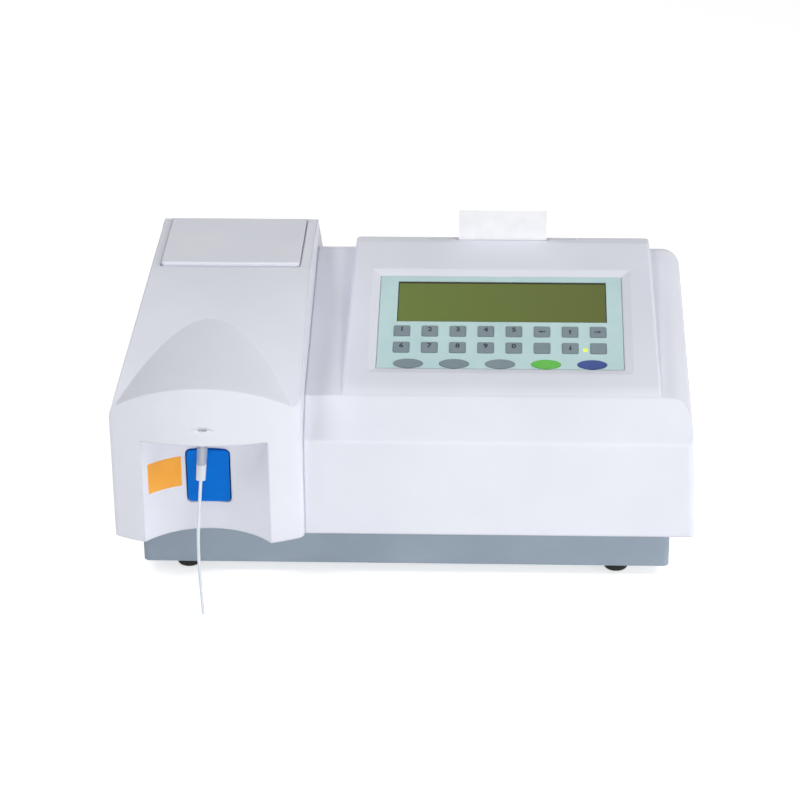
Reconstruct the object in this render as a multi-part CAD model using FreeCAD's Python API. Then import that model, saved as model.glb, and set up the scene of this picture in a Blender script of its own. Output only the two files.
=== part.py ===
import FreeCAD, Part
import math
import os

from FreeCAD import Vector

# Benchtop chemistry analyzer, in millimetres.
# X runs to the right, Y to the back and Z up; the table is z = 0.
# The origin is under the middle of the instrument, and y = 0 is also the middle of the display.

os.makedirs("parts", exist_ok=True)

# Whole instrument
depth = 260.0
rear_room = 6.0
skirt_z = 35.5
wall = 3.0
overrun = 1.0
play = 0.35

# Module on the left, with the flow cell under its lid
module_top_z = 173.0
module_back_y = 68.5
module_slope_y = -13.3
module_shoulder_z = 118.0
module_top_inset = 17.5
module_front_radius = 127.0
module_corner = 6.0
slope_end_room = 13.0
slope_end_z = 128.0
slope_bulge = 5.0
dome_radius = 84.0
dome_lip_z = 145.0
dome_tilt = 10.8
dome_back_y = -34.0
recess_radius = 50.8
recess_depth = 24.6
recess_top_z = 106.0
scoop_radius = 13.8
scoop_height = 3.1
scoop_depth = 1.3
scoop_top_z = 118.5
scoop_slot_width = 5.2
scoop_slot_height = 1.2
scoop_slot_depth = 2.2
scoop_slot_drop = 1.4

# Main block on the right, with the sloping console
block_gap = 0.5
block_side_deck = 21.5
block_setback = 19.5
side_draft = 2.5
front_lean = 2.7
block_corner = 4.0
strip_edge_z = 98.5
strip_rise = 21.5
strip_run = 21.1
deck_back_y = 63.6
console_step = 6.6
deck_shoulder = 12.0
ridge_round = 10.0
rear_slope = 33.5

# Console: its face, its ridge and the well that the keypad lies in
console_foot = 1.68
panel_tilt = 16.0
console_margin = 22.4
console_taper = 3.8
console_ridge_y = 55.2
console_brow_round = 26.0
console_edge = 2.0
keypad_sink = 1.6
keypad_side = 10.9
keypad_length = 88.9
keypad_shift = -0.8
keypad_low_v = -64.3
keypad_thick = 1.5
keypad_gap = 0.3
well_chamfer = 5.5
seat_thick = 3.0
seat_margin = 8.0

# Keys and display
display_width = 133.0
display_height = 39.0
display_sink = 0.4
key_size = 10.0
key_corner = 1.0
key_columns = 8
key_pitch = 17.74
key_first_u = -63.2
key_row_v = (-29.0, -44.6)
oval_length = 18.4
oval_height = 8.4
oval_count = 5
oval_pitch = 28.8
oval_first_u = -58.4
oval_v = -59.9
key_thick = 0.8
key_proud = 0.25
key_travel = 0.4
key_floor_gap = 0.1
key_play = 0.3
display_case_width = 146.0
display_case_height = 54.0
display_case_thick = 6.5
display_board_width = 158.0
display_board_thick = 1.6

# Base pan and feet
pan_side_room = 14.75
pan_front_room = 31.0
pan_back_room = 14.0
pan_bottom_z = 8.0
pan_top_z = 41.5
pan_sheet = 1.5
pan_corner = 4.0
pan_notch_gap = 1.0
flange_reach = 8.5
foot_radius = 7.5
foot_left_inset = 27.5
foot_right_inset = 32.8
foot_front_inset = 13.5
foot_back_inset = 20.0
foot_round = 1.5
vent_slot = 3.0
vent_length = 40.0
vent_pitch = 8.0
vent_count = 6

# Screw bosses
boss_width = 10.0
boss_height = 16.0
boss_bite = 2.0
boss_front_room = 33.0
boss_back_room = 22.0
screw_radius = 1.5
screw_head_radius = 2.8
screw_head_height = 2.0
screw_length = 10.0
screw_play = 0.1

# Lid of the flow-cell bay
lid_left_inset = 23.35
lid_right_inset = 7.05
lid_width = 88.0
lid_front_y = -10.0
lid_back_y = 64.6
lid_sink = 1.5
lid_proud = 2.5
lid_gap = 0.6
lid_corner = 2.5
lid_edge = 0.8
lid_margin = 4.0
lid_rim_gap = 2.0
lid_rim_drop = 5.0
lid_rim_thick = 2.0
lid_barrel_radius = 3.9
lid_pin_radius = 1.0
lid_pin_reach = 3.0
lid_boss_height = 7.0
lid_boss_width = 6.0
hinge_play = 0.05

# Aspirate key in the recess
paddle_width = 26.4
paddle_height = 35.6
paddle_low_z = 55.9
paddle_thick = 4.2
paddle_corner = 2.6
paddle_edge = 0.8
paddle_proud = 2.6
paddle_gap = 0.7
paddle_foot_gap = 1.0
paddle_axis_depth = 5.0
paddle_axis_drop = 2.5
paddle_pin_radius = 1.5
paddle_lug_radius = 2.6
paddle_lug_u = 8.0
paddle_lug_width = 3.0
paddle_pin_reach = 5.5
ear_u = 14.3
ear_width = 4.0
ear_depth = 8.4
ear_reach = 0.8
ear_height = 8.0
bracket_post_u = 17.5
bracket_post_width = 5.0
bracket_post_reach = 2.7
bracket_depth = 12.9
bracket_low_z = 60.0
bracket_high_z = 72.0
bracket_sheet = 1.6
switch_width = 10.0
switch_height = 16.0
switch_depth = 8.0
switch_button_radius = 1.4
switch_button_reach = 1.4

# Sampling probe under the brow
probe_shift = -1.5
probe_room = 10.5
nipple_radius = 2.1
nipple_drop = 7.0
nipple_rise = 10.0
nipple_collar_radius = 3.4
nipple_collar_height = 1.6
nipple_nut_radius = 4.6
nipple_nut_height = 3.0
nipple_tube_radius = 1.4
nipple_tube_length = 10.5
sleeve_radius = 3.3
sleeve_end_radius = 2.9
sleeve_length = 21.0
sleeve_direction = (-0.0710, -0.1575, -0.9850)
tube_radius = 1.0
tube_play = 0.05
tube_route = ((-1.136, -2.520, 84.240), (-2.414, -5.355, 66.510), (-1.550, -22.000, 38.000),
              (1.350, -38.500, 4.000))
tube_bend_share = 0.45

# Optical bench in the module
bench_top_z = 110.0
bench_thick = 6.0
bench_front_room = 86.0
bench_back_room = 24.0
bench_left_room = 8.75
bench_right_room = 7.65
bench_leg_radius = 5.0
bench_leg_inset = 13.0
axis_inset = 50.7
optic_z = 140.0
cell_block_width = 32.0
cell_block_length = 30.0
cell_block_height = 44.0
cell_block_y = 6.0
cell_size = 12.0
cell_low_z = 122.0
cell_length = 36.0
cell_gap = 0.1
cell_cap_radius = 4.0
cell_cap_height = 7.0
light_bore_radius = 3.0
wheel_radius = 26.0
wheel_pitch_radius = 21.5
wheel_y = 43.0
wheel_thick = 3.0
wheel_hub_radius = 5.0
wheel_hub_length = 4.0
filter_count = 8
filter_radius = 4.6
filter_gap = 0.05
filter_thick = 2.4
wheel_motor_y = 52.0
wheel_motor_radius = 12.5
wheel_motor_length = 19.0
wheel_shaft_radius = 1.5
lamp_house_width = 17.0
lamp_house_y = 50.0
lamp_house_length = 34.0
lamp_house_height = 42.0
lamp_fin_count = 5
lamp_fin_depth = 1.5
lamp_fin_gap = 3.0
lamp_cavity_radius = 6.0
detector_width = 24.0
detector_length = 13.0
detector_height = 40.0

# Peristaltic pump beside the cell
pump_inset = 28.4
pump_y = 16.0
pump_radius = 17.0
pump_base_height = 34.0
pump_track_height = 10.0
pump_track_radius = 14.5
pump_disc_radius = 9.5
pump_disc_thick = 1.5
pump_rotor_height = 9.0
pump_hub_radius = 4.0
pump_floor_gap = 0.4
pump_shaft_radius = 1.5
roller_radius = 2.6
roller_circle = 8.6
roller_pin_radius = 1.0
roller_end_gap = 0.2
roller_count = 3
pump_tube_radius = 1.4
pump_leg = 22.0

# Electronics in the block
board_width = 118.0
board_left_inset = 16.0
board_front_room = 29.0
board_back_room = 12.0
board_thick = 1.6
board_standoff = 7.0
standoff_radius = 2.5
board_hole_inset = 5.0
chip_side = 16.0
chip_height = 2.5
capacitor_radius = 6.0
capacitor_height = 18.0
chip_shares = ((0.25, 0.30), (0.50, 0.30), (0.50, 0.55), (0.75, 0.45))
capacitor_shares = ((0.80, 0.80), (0.80, 0.70), (0.30, 0.80))
supply_width = 72.0
supply_length = 104.0
supply_height = 34.0
supply_right_inset = 20.0
supply_back_room = 10.0

# Rear panel and what it carries
rear_panel_left_inset = 22.0
rear_panel_width = 190.0
rear_panel_low_z = 50.0
rear_panel_height = 54.0
rear_panel_sheet = 1.5
rear_panel_lap = 6.0
rear_panel_corner = 3.0
panel_hole_gap = 0.3
rear_mid_v = 27.0
inlet_u = 155.0
inlet_width = 27.0
inlet_height = 20.0
inlet_shift = 13.0
inlet_flange_width = 62.0
inlet_flange_height = 28.0
inlet_flange_thick = 2.5
inlet_flange_corner = 2.0
inlet_depth = 17.0
inlet_shell = 1.5
inlet_pin_width = 2.0
inlet_pin_height = 4.0
inlet_pin_pitch = 7.0
inlet_pin_length = 12.0
rocker_shift = -18.0
rocker_width = 13.0
rocker_side_gap = 0.3
rocker_reach = 5.5
rocker_reach_middle = 4.2
rocker_back = 2.0
rocker_half_front = 8.6
rocker_half_back = 7.0
rocker_room = 10.6
rocker_pivot_depth = 1.5
rocker_pin_radius = 1.2
rocker_pin_reach = 0.9
rocker_tilt = 8.0
rocker_case_depth = 12.0
fan_u = 76.0
fan_size = 40.0
fan_corner = 3.0
fan_thick = 10.0
fan_bore_radius = 18.6
fan_hub_radius = 7.5
fan_blade_radius = 17.6
fan_blade_count = 7
fan_blade_thick = 1.0
fan_blade_chord = 8.0
fan_blade_pitch = 38.0
fan_rotor_thick = 6.6
fan_back_room = 0.9
fan_strut_count = 3
fan_strut_width = 3.0
fan_strut_thick = 1.5
fan_pin_radius = 1.5
grille_ring_width = 1.6
grille_ring_pitch = 4.6
grille_ring_count = 4
grille_bar_width = 2.0
grille_bar_angle = 45.0
port_u = 36.0
port_width = 31.0
port_height = 12.5
port_flange = 1.2
port_shell_width = 17.0
port_shell_height = 9.0
port_reach = 5.0
port_depth = 9.0
port_wall = 0.8
barb_u = 10.0
barb_radius = 2.4
barb_bore_radius = 1.2
barb_rib_radius = 3.1
barb_rib_length = 2.4
barb_rib_count = 2
barb_reach = 9.0
barb_tail = 8.0
barb_nut_radius = 5.0
barb_nut_thick = 2.6

# Printer behind the ridge
printer_cover_width = 96.6
cover_front_y = 61.0
cover_back_room = 12.5
cover_thick = 3.0
cover_gap = 0.4
cover_pin_radius = 1.0
cover_pin_reach = 3.0
cover_boss_width = 5.0
cover_boss_half = 3.0
slot_front_y = 58.8
slot_length = 60.0
paper_width = 57.5
paper_thick = 0.3
paper_stand = 20.0
paper_lean = 1.35
paper_y = 59.6
paper_low_z = 139.0
roll_radius = 17.0
roll_back_room = 33.0
roll_z = 117.0
spindle_radius = 3.0
bucket_wall = 2.0
bucket_side_room = 1.5
bucket_front_room = 23.0
bucket_back_room = 20.0
bucket_low_z = 97.5
bucket_back_z = 121.0
bucket_shoulder = 1.0
bucket_shoulder_z = 137.5
bucket_chin_z = 130.0
head_plate_back = 12.0
head_plate_front = 5.0
head_plate_low_z = 137.0
head_plate_top_z = 150.5
bucket_front_z = 128.0
platen_radius = 4.5
platen_shaft_radius = 1.5
platen_gap = 0.35
platen_z = 144.0
head_thick = 3.5
head_low_z = 138.5
head_high_z = 150.0
hanger_width = 10.0
hanger_gap = 2.0
hanger_front_y = 47.6
hanger_back_y = 57.6
hanger_z = 140.0
hanger_thick = 3.0

# Slope behind the module's flat top
module_rear_z = 120.0
module_rear_round = 8.0
left_lean_round = 30.0


# Places worked out from the sizes
module_width = lid_left_inset + lid_width + lid_right_inset
keypad_width = display_width + 2 * keypad_side
console_front_width = keypad_width + 2 * console_margin
console_ridge_width = console_front_width - 2 * console_taper
block_width = console_front_width + 2 * block_side_deck
left_x = -(module_width + block_gap + block_width) / 2
module_right_x = left_x + module_width
module_mid_x = left_x + module_width / 2
block_left_x = module_right_x + block_gap
right_x = block_left_x + block_width
panel_x = (block_left_x + right_x) / 2
front_y = -depth / 2
rear_y = depth / 2 - rear_room
block_front_y = front_y + block_setback
strip_low_y = block_front_y + (strip_edge_z - skirt_z) * math.tan(math.radians(front_lean))
crease_y = strip_low_y + strip_run
crease_z = strip_edge_z + strip_rise
panel_tan = math.tan(math.radians(panel_tilt))
sink_z = keypad_sink / math.cos(math.radians(panel_tilt))
panel_z = crease_z + console_foot - sink_z - crease_y * panel_tan
ridge_top_z = panel_z + sink_z + console_ridge_y * panel_tan
deck_back_z = ridge_top_z - console_step
deck_slope = math.degrees(math.atan2(deck_back_z - crease_z, deck_back_y - crease_y))
front_round_y = front_y + module_front_radius
slope_end_y = front_y + slope_end_room
recess_back_y = front_y + recess_depth
recess_mid_y = recess_back_y - recess_radius
probe_y = front_y + probe_room
pan_floor_z = pan_bottom_z + pan_sheet
pan_left_x = left_x + pan_side_room
pan_right_x = right_x - pan_side_room
pan_front_y = front_y + pan_front_room
pan_back_y = rear_y - pan_back_room
boss_front_y = pan_front_y + boss_front_room
boss_back_y = pan_back_y - boss_back_room
cover_axis_y = rear_y - cover_back_room
roll_y = rear_y - roll_back_room


def tan_of(angle):
    return math.tan(math.radians(angle))


def box(x, y, z):
    return Part.makeBox(x[1] - x[0], y[1] - y[0], z[1] - z[0], Vector(x[0], y[0], z[0]))


def block_at(centre, size):
    x, y, z = [(c - s / 2, c + s / 2) for c, s in zip(centre, size)]
    return box(x, y, z)


def rod(start, direction, radius, length):
    return Part.makeCylinder(radius, length, Vector(*start), Vector(*direction))


def prism_x(points, x):
    outline = [Vector(x[0], y, z) for y, z in points]
    face = Part.Face(Part.makePolygon(outline + outline[:1]))
    return face.extrude(Vector(x[1] - x[0], 0, 0))


def prism_z(points, z):
    outline = [Vector(x, y, z[0]) for x, y in points]
    face = Part.Face(Part.makePolygon(outline + outline[:1]))
    return face.extrude(Vector(0, 0, z[1] - z[0]))


def prism_y(points, y):
    outline = [Vector(x, y[0], z) for x, z in points]
    face = Part.Face(Part.makePolygon(outline + outline[:1]))
    return face.extrude(Vector(0, y[1] - y[0], 0))


def runs_along(edge, axis):
    if len(edge.Vertexes) != 2 or not isinstance(edge.Curve, (Part.Line, Part.LineSegment)):
        return False
    step = edge.Vertexes[1].Point - edge.Vertexes[0].Point
    return abs(step.normalize().dot(Vector(*axis))) > 0.999


def round_where(shape, radius, test):
    return shape.makeFillet(radius, [edge for edge in shape.Edges if test(edge)])


def rounded_z(x, y, z, radius):
    return round_where(box(x, y, z), radius, lambda edge: runs_along(edge, (0, 0, 1)))


def rounded_y(x, y, z, radius):
    return round_where(box(x, y, z), radius, lambda edge: runs_along(edge, (0, 1, 0)))


def fused(shapes):
    first, rest = shapes[0], shapes[1:]
    return first.fuse(rest).removeSplitter() if rest else first


def turned(shape, centre, axis, angle):
    copy = shape.copy()
    copy.rotate(Vector(*centre), Vector(*axis), angle)
    return copy


def moved(shape, x=0.0, y=0.0, z=0.0):
    copy = shape.copy()
    copy.translate(Vector(x, y, z))
    return copy


def on_panel(shape):
    # From the panel's own u, v, w to its place on the sloping console
    tilted = turned(shape, (0, 0, 0), (1, 0, 0), panel_tilt)
    return moved(tilted, panel_x, 0.0, panel_z)


def save(name, shape):
    solids = shape.Solids
    whole = solids[0] if len(solids) == 1 else Part.makeCompound(solids)
    whole.exportStep("parts/" + name + ".step")
    print(name, len(solids), "solids", round(sum(s.Volume for s in solids)), "mm3")


# Block and console outlines, drawn in by an inset for their hollow insides

def deck_z(y, inset):
    drop = inset / math.cos(math.radians(deck_slope))
    return deck_back_z - drop + (y - deck_back_y) * tan_of(deck_slope)


def rear_z(y, top_z, inset):
    drop = inset / math.cos(math.radians(rear_slope))
    return top_z - drop - (y - deck_back_y) * tan_of(rear_slope)


def ridge_y(inset):
    # Where the deck and the slope behind it meet, once both are lowered
    gain = (deck_z(deck_back_y, inset) - rear_z(deck_back_y, deck_back_z, inset))
    return deck_back_y - gain / (tan_of(deck_slope) + tan_of(rear_slope))


def in_front_of_strip(inset):
    # Everything above and before the sloping strip over the front face
    run, rise = strip_run, strip_rise
    length = math.hypot(run, rise)
    y0 = strip_low_y + inset * rise / length
    z0 = strip_edge_z - inset * run / length
    low = (y0 - 2 * run, z0 - 2 * rise)
    high = (y0 + 3 * run, z0 + 3 * rise)
    return prism_x([low, high, (low[0], high[1])], (2 * left_x, 2 * right_x))


def block_form(inset):
    low_z = skirt_z - (overrun if inset else 0.0)
    high_z = module_top_z
    lean = (high_z - low_z) * tan_of(side_draft)
    low_shift = (skirt_z - low_z) * tan_of(side_draft)
    # Upright beside the module, leaning in on the free side
    left = block_left_x + inset
    right = right_x - inset + low_shift
    far = depth
    section = [(left, low_z), (right, low_z), (right - lean, high_z), (left, high_z)]
    body = prism_y(section, (-far, far))
    peak = ridge_y(inset)
    outline = [(-far, low_z), (-far, deck_z(-far, inset)), (peak, deck_z(peak, inset)),
               (far, rear_z(far, deck_back_z, inset)), (far, low_z - far), (-far, low_z - far)]
    body = body.common(prism_x(outline, (left, right)))
    body = round_where(body, ridge_round - inset, lambda e: runs_along(e, (1, 0, 0))
                       and abs(e.Vertexes[0].Y - peak) < overrun and e.Vertexes[0].Z > crease_z)

    def along_side(edge):
        b = edge.BoundBox
        upper = all(v.Z > low_z + overrun for v in edge.Vertexes)
        return b.XMin > right - 2 * lean and upper and b.YLength > overrun

    body = round_where(body, deck_shoulder - inset, along_side)
    face = block_front_y + inset
    slant = (high_z - low_z) * tan_of(front_lean)
    y_low = face - (skirt_z - low_z) * tan_of(front_lean)
    back = rear_y - inset
    side_view = [(y_low, low_z), (y_low + slant, high_z), (back, high_z), (back, low_z)]
    body = body.common(prism_x(side_view, (left - far, right + far)))
    return body.cut(in_front_of_strip(inset))


def block_outer():
    body = block_form(0.0)

    def front_corner(edge):
        b = edge.BoundBox
        return b.XMin > panel_x and b.YMax < strip_low_y + overrun and b.ZLength > strip_rise

    def front_brow(edge):
        start = edge.Vertexes[0].Point
        return runs_along(edge, (1, 0, 0)) and abs(start.z - strip_edge_z) < overrun and start.y < crease_y

    def rear_rim(edge):
        b = edge.BoundBox
        return b.YMin > rear_y - overrun and b.ZMax > skirt_z + overrun

    body = round_where(body, block_corner, lambda e: front_corner(e) or front_brow(e))
    return round_where(body, block_corner, rear_rim)


def face_z(y, inset):
    # Console face, keypad_sink above the keypad's plane and lowered by the inset
    rise = (keypad_sink - inset) / math.cos(math.radians(panel_tilt))
    return panel_z + rise + y * tan_of(panel_tilt)


def ridge_z(inset):
    return ridge_top_z - inset


def console_form(inset):
    slope = strip_rise / strip_run
    length = math.hypot(strip_run, strip_rise)
    y0 = strip_low_y + inset * strip_rise / length
    z0 = strip_edge_z - inset * strip_run / length
    # Foot of the console, where its face meets the plane of the strip
    y1 = (face_z(0.0, inset) - z0 + slope * y0) / (slope - tan_of(panel_tilt))
    y2 = console_ridge_y
    low = deck_z(crease_y, 0.0) - deck_shoulder - inset
    top = ridge_z(inset)
    y3 = deck_back_y
    y4 = rear_y - 2 * block_corner - inset
    y_low = y0 + (low - z0) / slope
    outline = [(y_low, low), (y1, face_z(y1, inset)), (y2, top), (y3, top),
               (y4, rear_z(y4, top, 0.0)), (y4, low)]
    half = console_front_width / 2 - inset
    body = prism_x(outline, (panel_x - half, panel_x + half))
    body = round_where(body, console_brow_round - inset, lambda e: runs_along(e, (1, 0, 0))
                       and abs(e.Vertexes[0].Y - y1) < overrun and e.Vertexes[0].Z > crease_z - wall)
    narrow = console_ridge_width / 2 - inset
    plan = [(panel_x - half, crease_y - strip_run), (panel_x + half, crease_y - strip_run),
            (panel_x + narrow, deck_back_y), (panel_x + narrow, rear_y),
            (panel_x - narrow, rear_y), (panel_x - narrow, deck_back_y)]
    return body.common(prism_z(plan, (0.0, 2 * module_top_z)))


def console_outer():
    narrow = console_ridge_width / 2 - overrun

    def side_edge(edge):
        b = edge.BoundBox
        beside = b.XMin > panel_x + narrow or b.XMax < panel_x - narrow
        return beside and b.ZMin > crease_z - 2 * wall and b.ZMax > crease_z and b.YLength > overrun

    return round_where(console_form(0.0), console_edge, side_edge)


# Main housing

def keypad_plate(margin, w):
    u0 = keypad_shift - keypad_width / 2 - margin
    u1 = keypad_shift + keypad_width / 2 + margin
    v0 = keypad_low_v - margin
    v1 = keypad_low_v + keypad_length + margin
    return box((u0, u1), (v0, v1), w)


def keypad_ring(margin, w):
    b = keypad_plate(margin, (w, w + overrun)).BoundBox
    corners = [Vector(b.XMin, b.YMin, w), Vector(b.XMax, b.YMin, w),
               Vector(b.XMax, b.YMax, w), Vector(b.XMin, b.YMax, w)]
    return Part.makePolygon(corners + corners[:1])


def keypad_well():
    # Straight pocket for the keypad, with a soft slope from its rim up to the console's face
    pocket = keypad_plate(keypad_gap, (-keypad_thick, keypad_sink))
    low = keypad_ring(keypad_gap, 0.0)
    high = keypad_ring(keypad_gap + 2 * well_chamfer, 2 * keypad_sink)
    slope = Part.makeLoft([low, high], True, True)
    return fused([pocket, slope])


def display_hole(gap, w):
    half_u = display_width / 2 + gap
    half_v = display_height / 2 + gap
    return box((-half_u, half_u), (-half_v, half_v), w)


def cover_axis_z():
    # Middle of the cover's thickness at its hinge
    slant = math.cos(math.radians(rear_slope))
    return ridge_z(0.0) - (cover_axis_y - deck_back_y) * tan_of(rear_slope) - cover_thick / 2 / slant


def printer_opening():
    half = printer_cover_width / 2 + cover_gap
    back = cover_axis_y + cover_thick / 2 + cover_gap
    front = cover_front_y - cover_gap
    bay = box((panel_x - half, panel_x + half), (front, back), (bucket_low_z, 2 * module_top_z))
    half_slot = slot_length / 2
    slot = box((panel_x - half_slot, panel_x + half_slot), (slot_front_y, front + overrun),
               (hanger_z, 2 * module_top_z))
    return [bay, slot]


def cover_bosses():
    shapes = []
    z = cover_axis_z()
    half = printer_cover_width / 2 + cover_gap
    for side in (-1, 1):
        inner_x = panel_x + side * half
        outer_x = inner_x + side * cover_boss_width
        x = (min(inner_x, outer_x), max(inner_x, outer_x))
        y = (cover_axis_y - cover_boss_half, cover_axis_y + cover_boss_half)
        shapes.append(box(x, y, (z - cover_boss_half, z)))
    return shapes


def cover_pin_holes():
    half = printer_cover_width / 2 + cover_pin_reach + cover_gap
    start = (panel_x - half, cover_axis_y, cover_axis_z())
    return rod(start, (1, 0, 0), cover_pin_radius + hinge_play, 2 * half)


def hanger_spots():
    inner = paper_width / 2 + bucket_side_room + bucket_wall + hanger_gap
    outer = inner + hanger_width
    return [(panel_x - outer, panel_x - inner), (panel_x + inner, panel_x + outer)]


def flange_boss(wall_x, side):
    # Post on an outer wall, standing on the pan's flange
    reach = boss_width + boss_bite
    x = (wall_x, wall_x + reach) if side > 0 else (wall_x - reach, wall_x)
    half = boss_width / 2
    z = (pan_top_z, pan_top_z + boss_height)
    return [box(x, (y - half, y + half), z) for y in (boss_front_y, boss_back_y)]


def floor_boss(wall_x, side):
    # Post on a wall between the two housings, reaching down to the pan's floor
    x = (wall_x, wall_x + boss_width) if side > 0 else (wall_x - boss_width, wall_x)
    half = boss_width / 2
    high = pan_top_z + boss_height
    return [box(x, (y - half, y + half), (pan_floor_z, high)) for y in (boss_front_y, boss_back_y)]


left_flange_screw_x = left_x + wall + boss_width / 2
right_flange_screw_x = right_x - wall - boss_width / 2
module_floor_screw_x = module_right_x - wall - boss_width / 2 + boss_bite / 2
block_floor_screw_x = block_left_x + wall + boss_width / 2
screw_ys = (boss_front_y, boss_back_y)


def pilot_holes(x, low_z):
    radius = screw_radius + screw_play
    return [rod((x, y, low_z - overrun), (0, 0, 1), radius, screw_length + 2 * overrun) for y in screw_ys]


def main_housing():
    outer = fused([block_outer(), console_outer()])
    shell = outer.cut(fused([block_form(wall), console_form(wall)]))
    seat = keypad_plate(seat_margin, (-keypad_thick - seat_thick, 0.0))
    extra = [on_panel(seat)] + cover_bosses()
    hanger_top_z = face_z(hanger_front_y, wall / 2)
    for x in hanger_spots():
        extra.append(box(x, (hanger_front_y, hanger_back_y), (hanger_z, hanger_top_z)))
    extra += flange_boss(right_x - wall - boss_width, 1)
    extra += floor_boss(block_left_x + wall / 2, 1)
    shell = fused([shell] + extra)
    cuts = [on_panel(keypad_well())]
    cuts.append(on_panel(display_hole(keypad_gap, (-keypad_thick - seat_thick - overrun, 0.0))))
    cuts += printer_opening() + [cover_pin_holes(), rear_opening()]
    cuts += pilot_holes(right_flange_screw_x, pan_top_z) + pilot_holes(block_floor_screw_x, pan_floor_z)
    return shell.cut(cuts)


def rear_opening():
    x0 = block_left_x + rear_panel_left_inset
    z0 = rear_panel_low_z
    y = (rear_y - wall - overrun, rear_y + overrun)
    return rounded_y((x0, x0 + rear_panel_width), y, (z0, z0 + rear_panel_height), rear_panel_corner)


# Module housing

def footprint(inset, z):
    radius = module_front_radius - inset
    x0 = left_x + inset
    x1 = module_right_x - inset
    back = rear_y - inset
    half = module_width / 2 - inset
    corner_y = front_round_y - math.sqrt(radius ** 2 - half ** 2)
    nose = Vector(module_mid_x, front_round_y - radius, z[0])
    left_front = Vector(x0, corner_y, z[0])
    right_front = Vector(x1, corner_y, z[0])
    left_back = Vector(x0, back, z[0])
    right_back = Vector(x1, back, z[0])
    edges = [Part.Arc(left_front, nose, right_front).toShape(), Part.makeLine(right_front, right_back),
             Part.makeLine(right_back, left_back), Part.makeLine(left_back, left_front)]
    body = Part.Face(Part.Wire(edges)).extrude(Vector(0, 0, z[1] - z[0]))
    return round_where(body, module_corner - inset,
                       lambda e: runs_along(e, (0, 0, 1)) and e.Vertexes[0].Y < 0.0)


def section_y(inset, y):
    # Seen from the front: upright walls, the left one leaning in at its top
    low = skirt_z - (overrun if inset else 0.0)
    x0 = left_x + inset
    x1 = module_right_x - inset
    run = module_top_inset
    rise = module_top_z - module_shoulder_z
    slant = math.hypot(run, rise)
    top = module_top_z + rise
    # The leaning line moved in by the inset, met with the moved wall
    knee_z = module_shoulder_z - inset * (slant - rise) / run
    top_x = x0 + (top - knee_z) * run / rise
    outline = [(x0, low), (x1, low), (x1, top), (top_x, top), (x0, knee_z)]
    body = prism_y(outline, y)
    return round_where(body, left_lean_round - inset, lambda e: runs_along(e, (0, 1, 0))
                       and abs(e.Vertexes[0].Z - knee_z) < overrun and abs(e.Vertexes[0].X - x0) < overrun)


def top_profile(inset):
    # Seen from the right: an arched slope, a flat top and the slope behind it
    start, end = Vector(0, slope_end_y, slope_end_z), Vector(0, module_slope_y, module_top_z)
    chord = end - start
    across = Vector(0, -chord.z, chord.y).normalize()
    sag = 2 * math.atan2(2 * slope_bulge, chord.Length)
    tilt = math.atan2(chord.z, chord.y)
    middle = start + chord * 0.5 + across * slope_bulge
    steep, shallow = tilt + sag, tilt - sag
    start -= Vector(0, -math.sin(steep), math.cos(steep)) * inset
    middle -= across * inset
    end -= Vector(0, -math.sin(shallow), math.cos(shallow)) * inset
    ahead_y = front_y - module_corner
    front = Vector(0, ahead_y, start.z + (ahead_y - start.y) * math.tan(steep))
    fall = (module_top_z - module_rear_z) / (rear_y - module_back_y)
    top = module_top_z - inset
    back_drop = inset * math.hypot(1, fall)
    brow = Vector(0, module_back_y + (inset - back_drop) / fall, top)
    rear = Vector(0, rear_y - inset, module_rear_z - back_drop + inset * fall)
    low = skirt_z - (overrun if inset else 0.0)
    corners = [Vector(0, end.y + slope_bulge, top), brow, rear, Vector(0, rear.y, low)]
    corners += [Vector(0, front.y, low), front]
    edges = [Part.Arc(start, middle, end).toShape(), Part.makeLine(end, corners[0])]
    edges += [Part.makeLine(p, q) for p, q in zip(corners, corners[1:])]
    edges.append(Part.makeLine(front, start))
    face = Part.Face(Part.Wire(edges))
    face.translate(Vector(left_x, 0, 0))
    body = face.extrude(Vector(module_width, 0, 0))
    return round_where(body, module_rear_round - inset, lambda e: runs_along(e, (1, 0, 0))
                       and abs(e.Vertexes[0].Y - brow.y) < overrun and abs(e.Vertexes[0].Z - top) < overrun)


def dome(inset):
    radius = dome_radius - inset
    centre_z = dome_lip_z - dome_radius / math.cos(math.radians(dome_tilt))
    reach = depth
    direction = Vector(0, math.cos(math.radians(dome_tilt)), math.sin(math.radians(dome_tilt)))
    start = Vector(module_mid_x, front_y, centre_z) - direction * reach
    body = Part.makeCylinder(radius, 2 * reach, start, direction)
    x = (left_x, module_right_x)
    return body.common(box(x, (front_y - module_corner, dome_back_y), (recess_top_z + inset, module_top_z)))


def recess(inset, z):
    return rod((module_mid_x, recess_mid_y, z[0]), (0, 0, 1), recess_radius + inset, z[1] - z[0])


def module_form(inset):
    low = skirt_z - (overrun if inset else 0.0)
    tall = (low, 2 * module_top_z)
    body = fused([top_profile(inset), dome(inset)])
    body = body.common(footprint(inset, tall))
    body = body.common(section_y(inset, (-depth, depth)))
    return body.cut(recess(inset, (low - overrun, recess_top_z + inset)))


def lid_span(margin):
    x0 = left_x + lid_left_inset
    return (x0 - margin, x0 + lid_width + margin)


lid_low_z = module_top_z - lid_sink
lid_top_z = module_top_z + lid_proud
lid_axis_y = lid_back_y - lid_barrel_radius
lid_axis_z = lid_top_z - lid_barrel_radius


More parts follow.
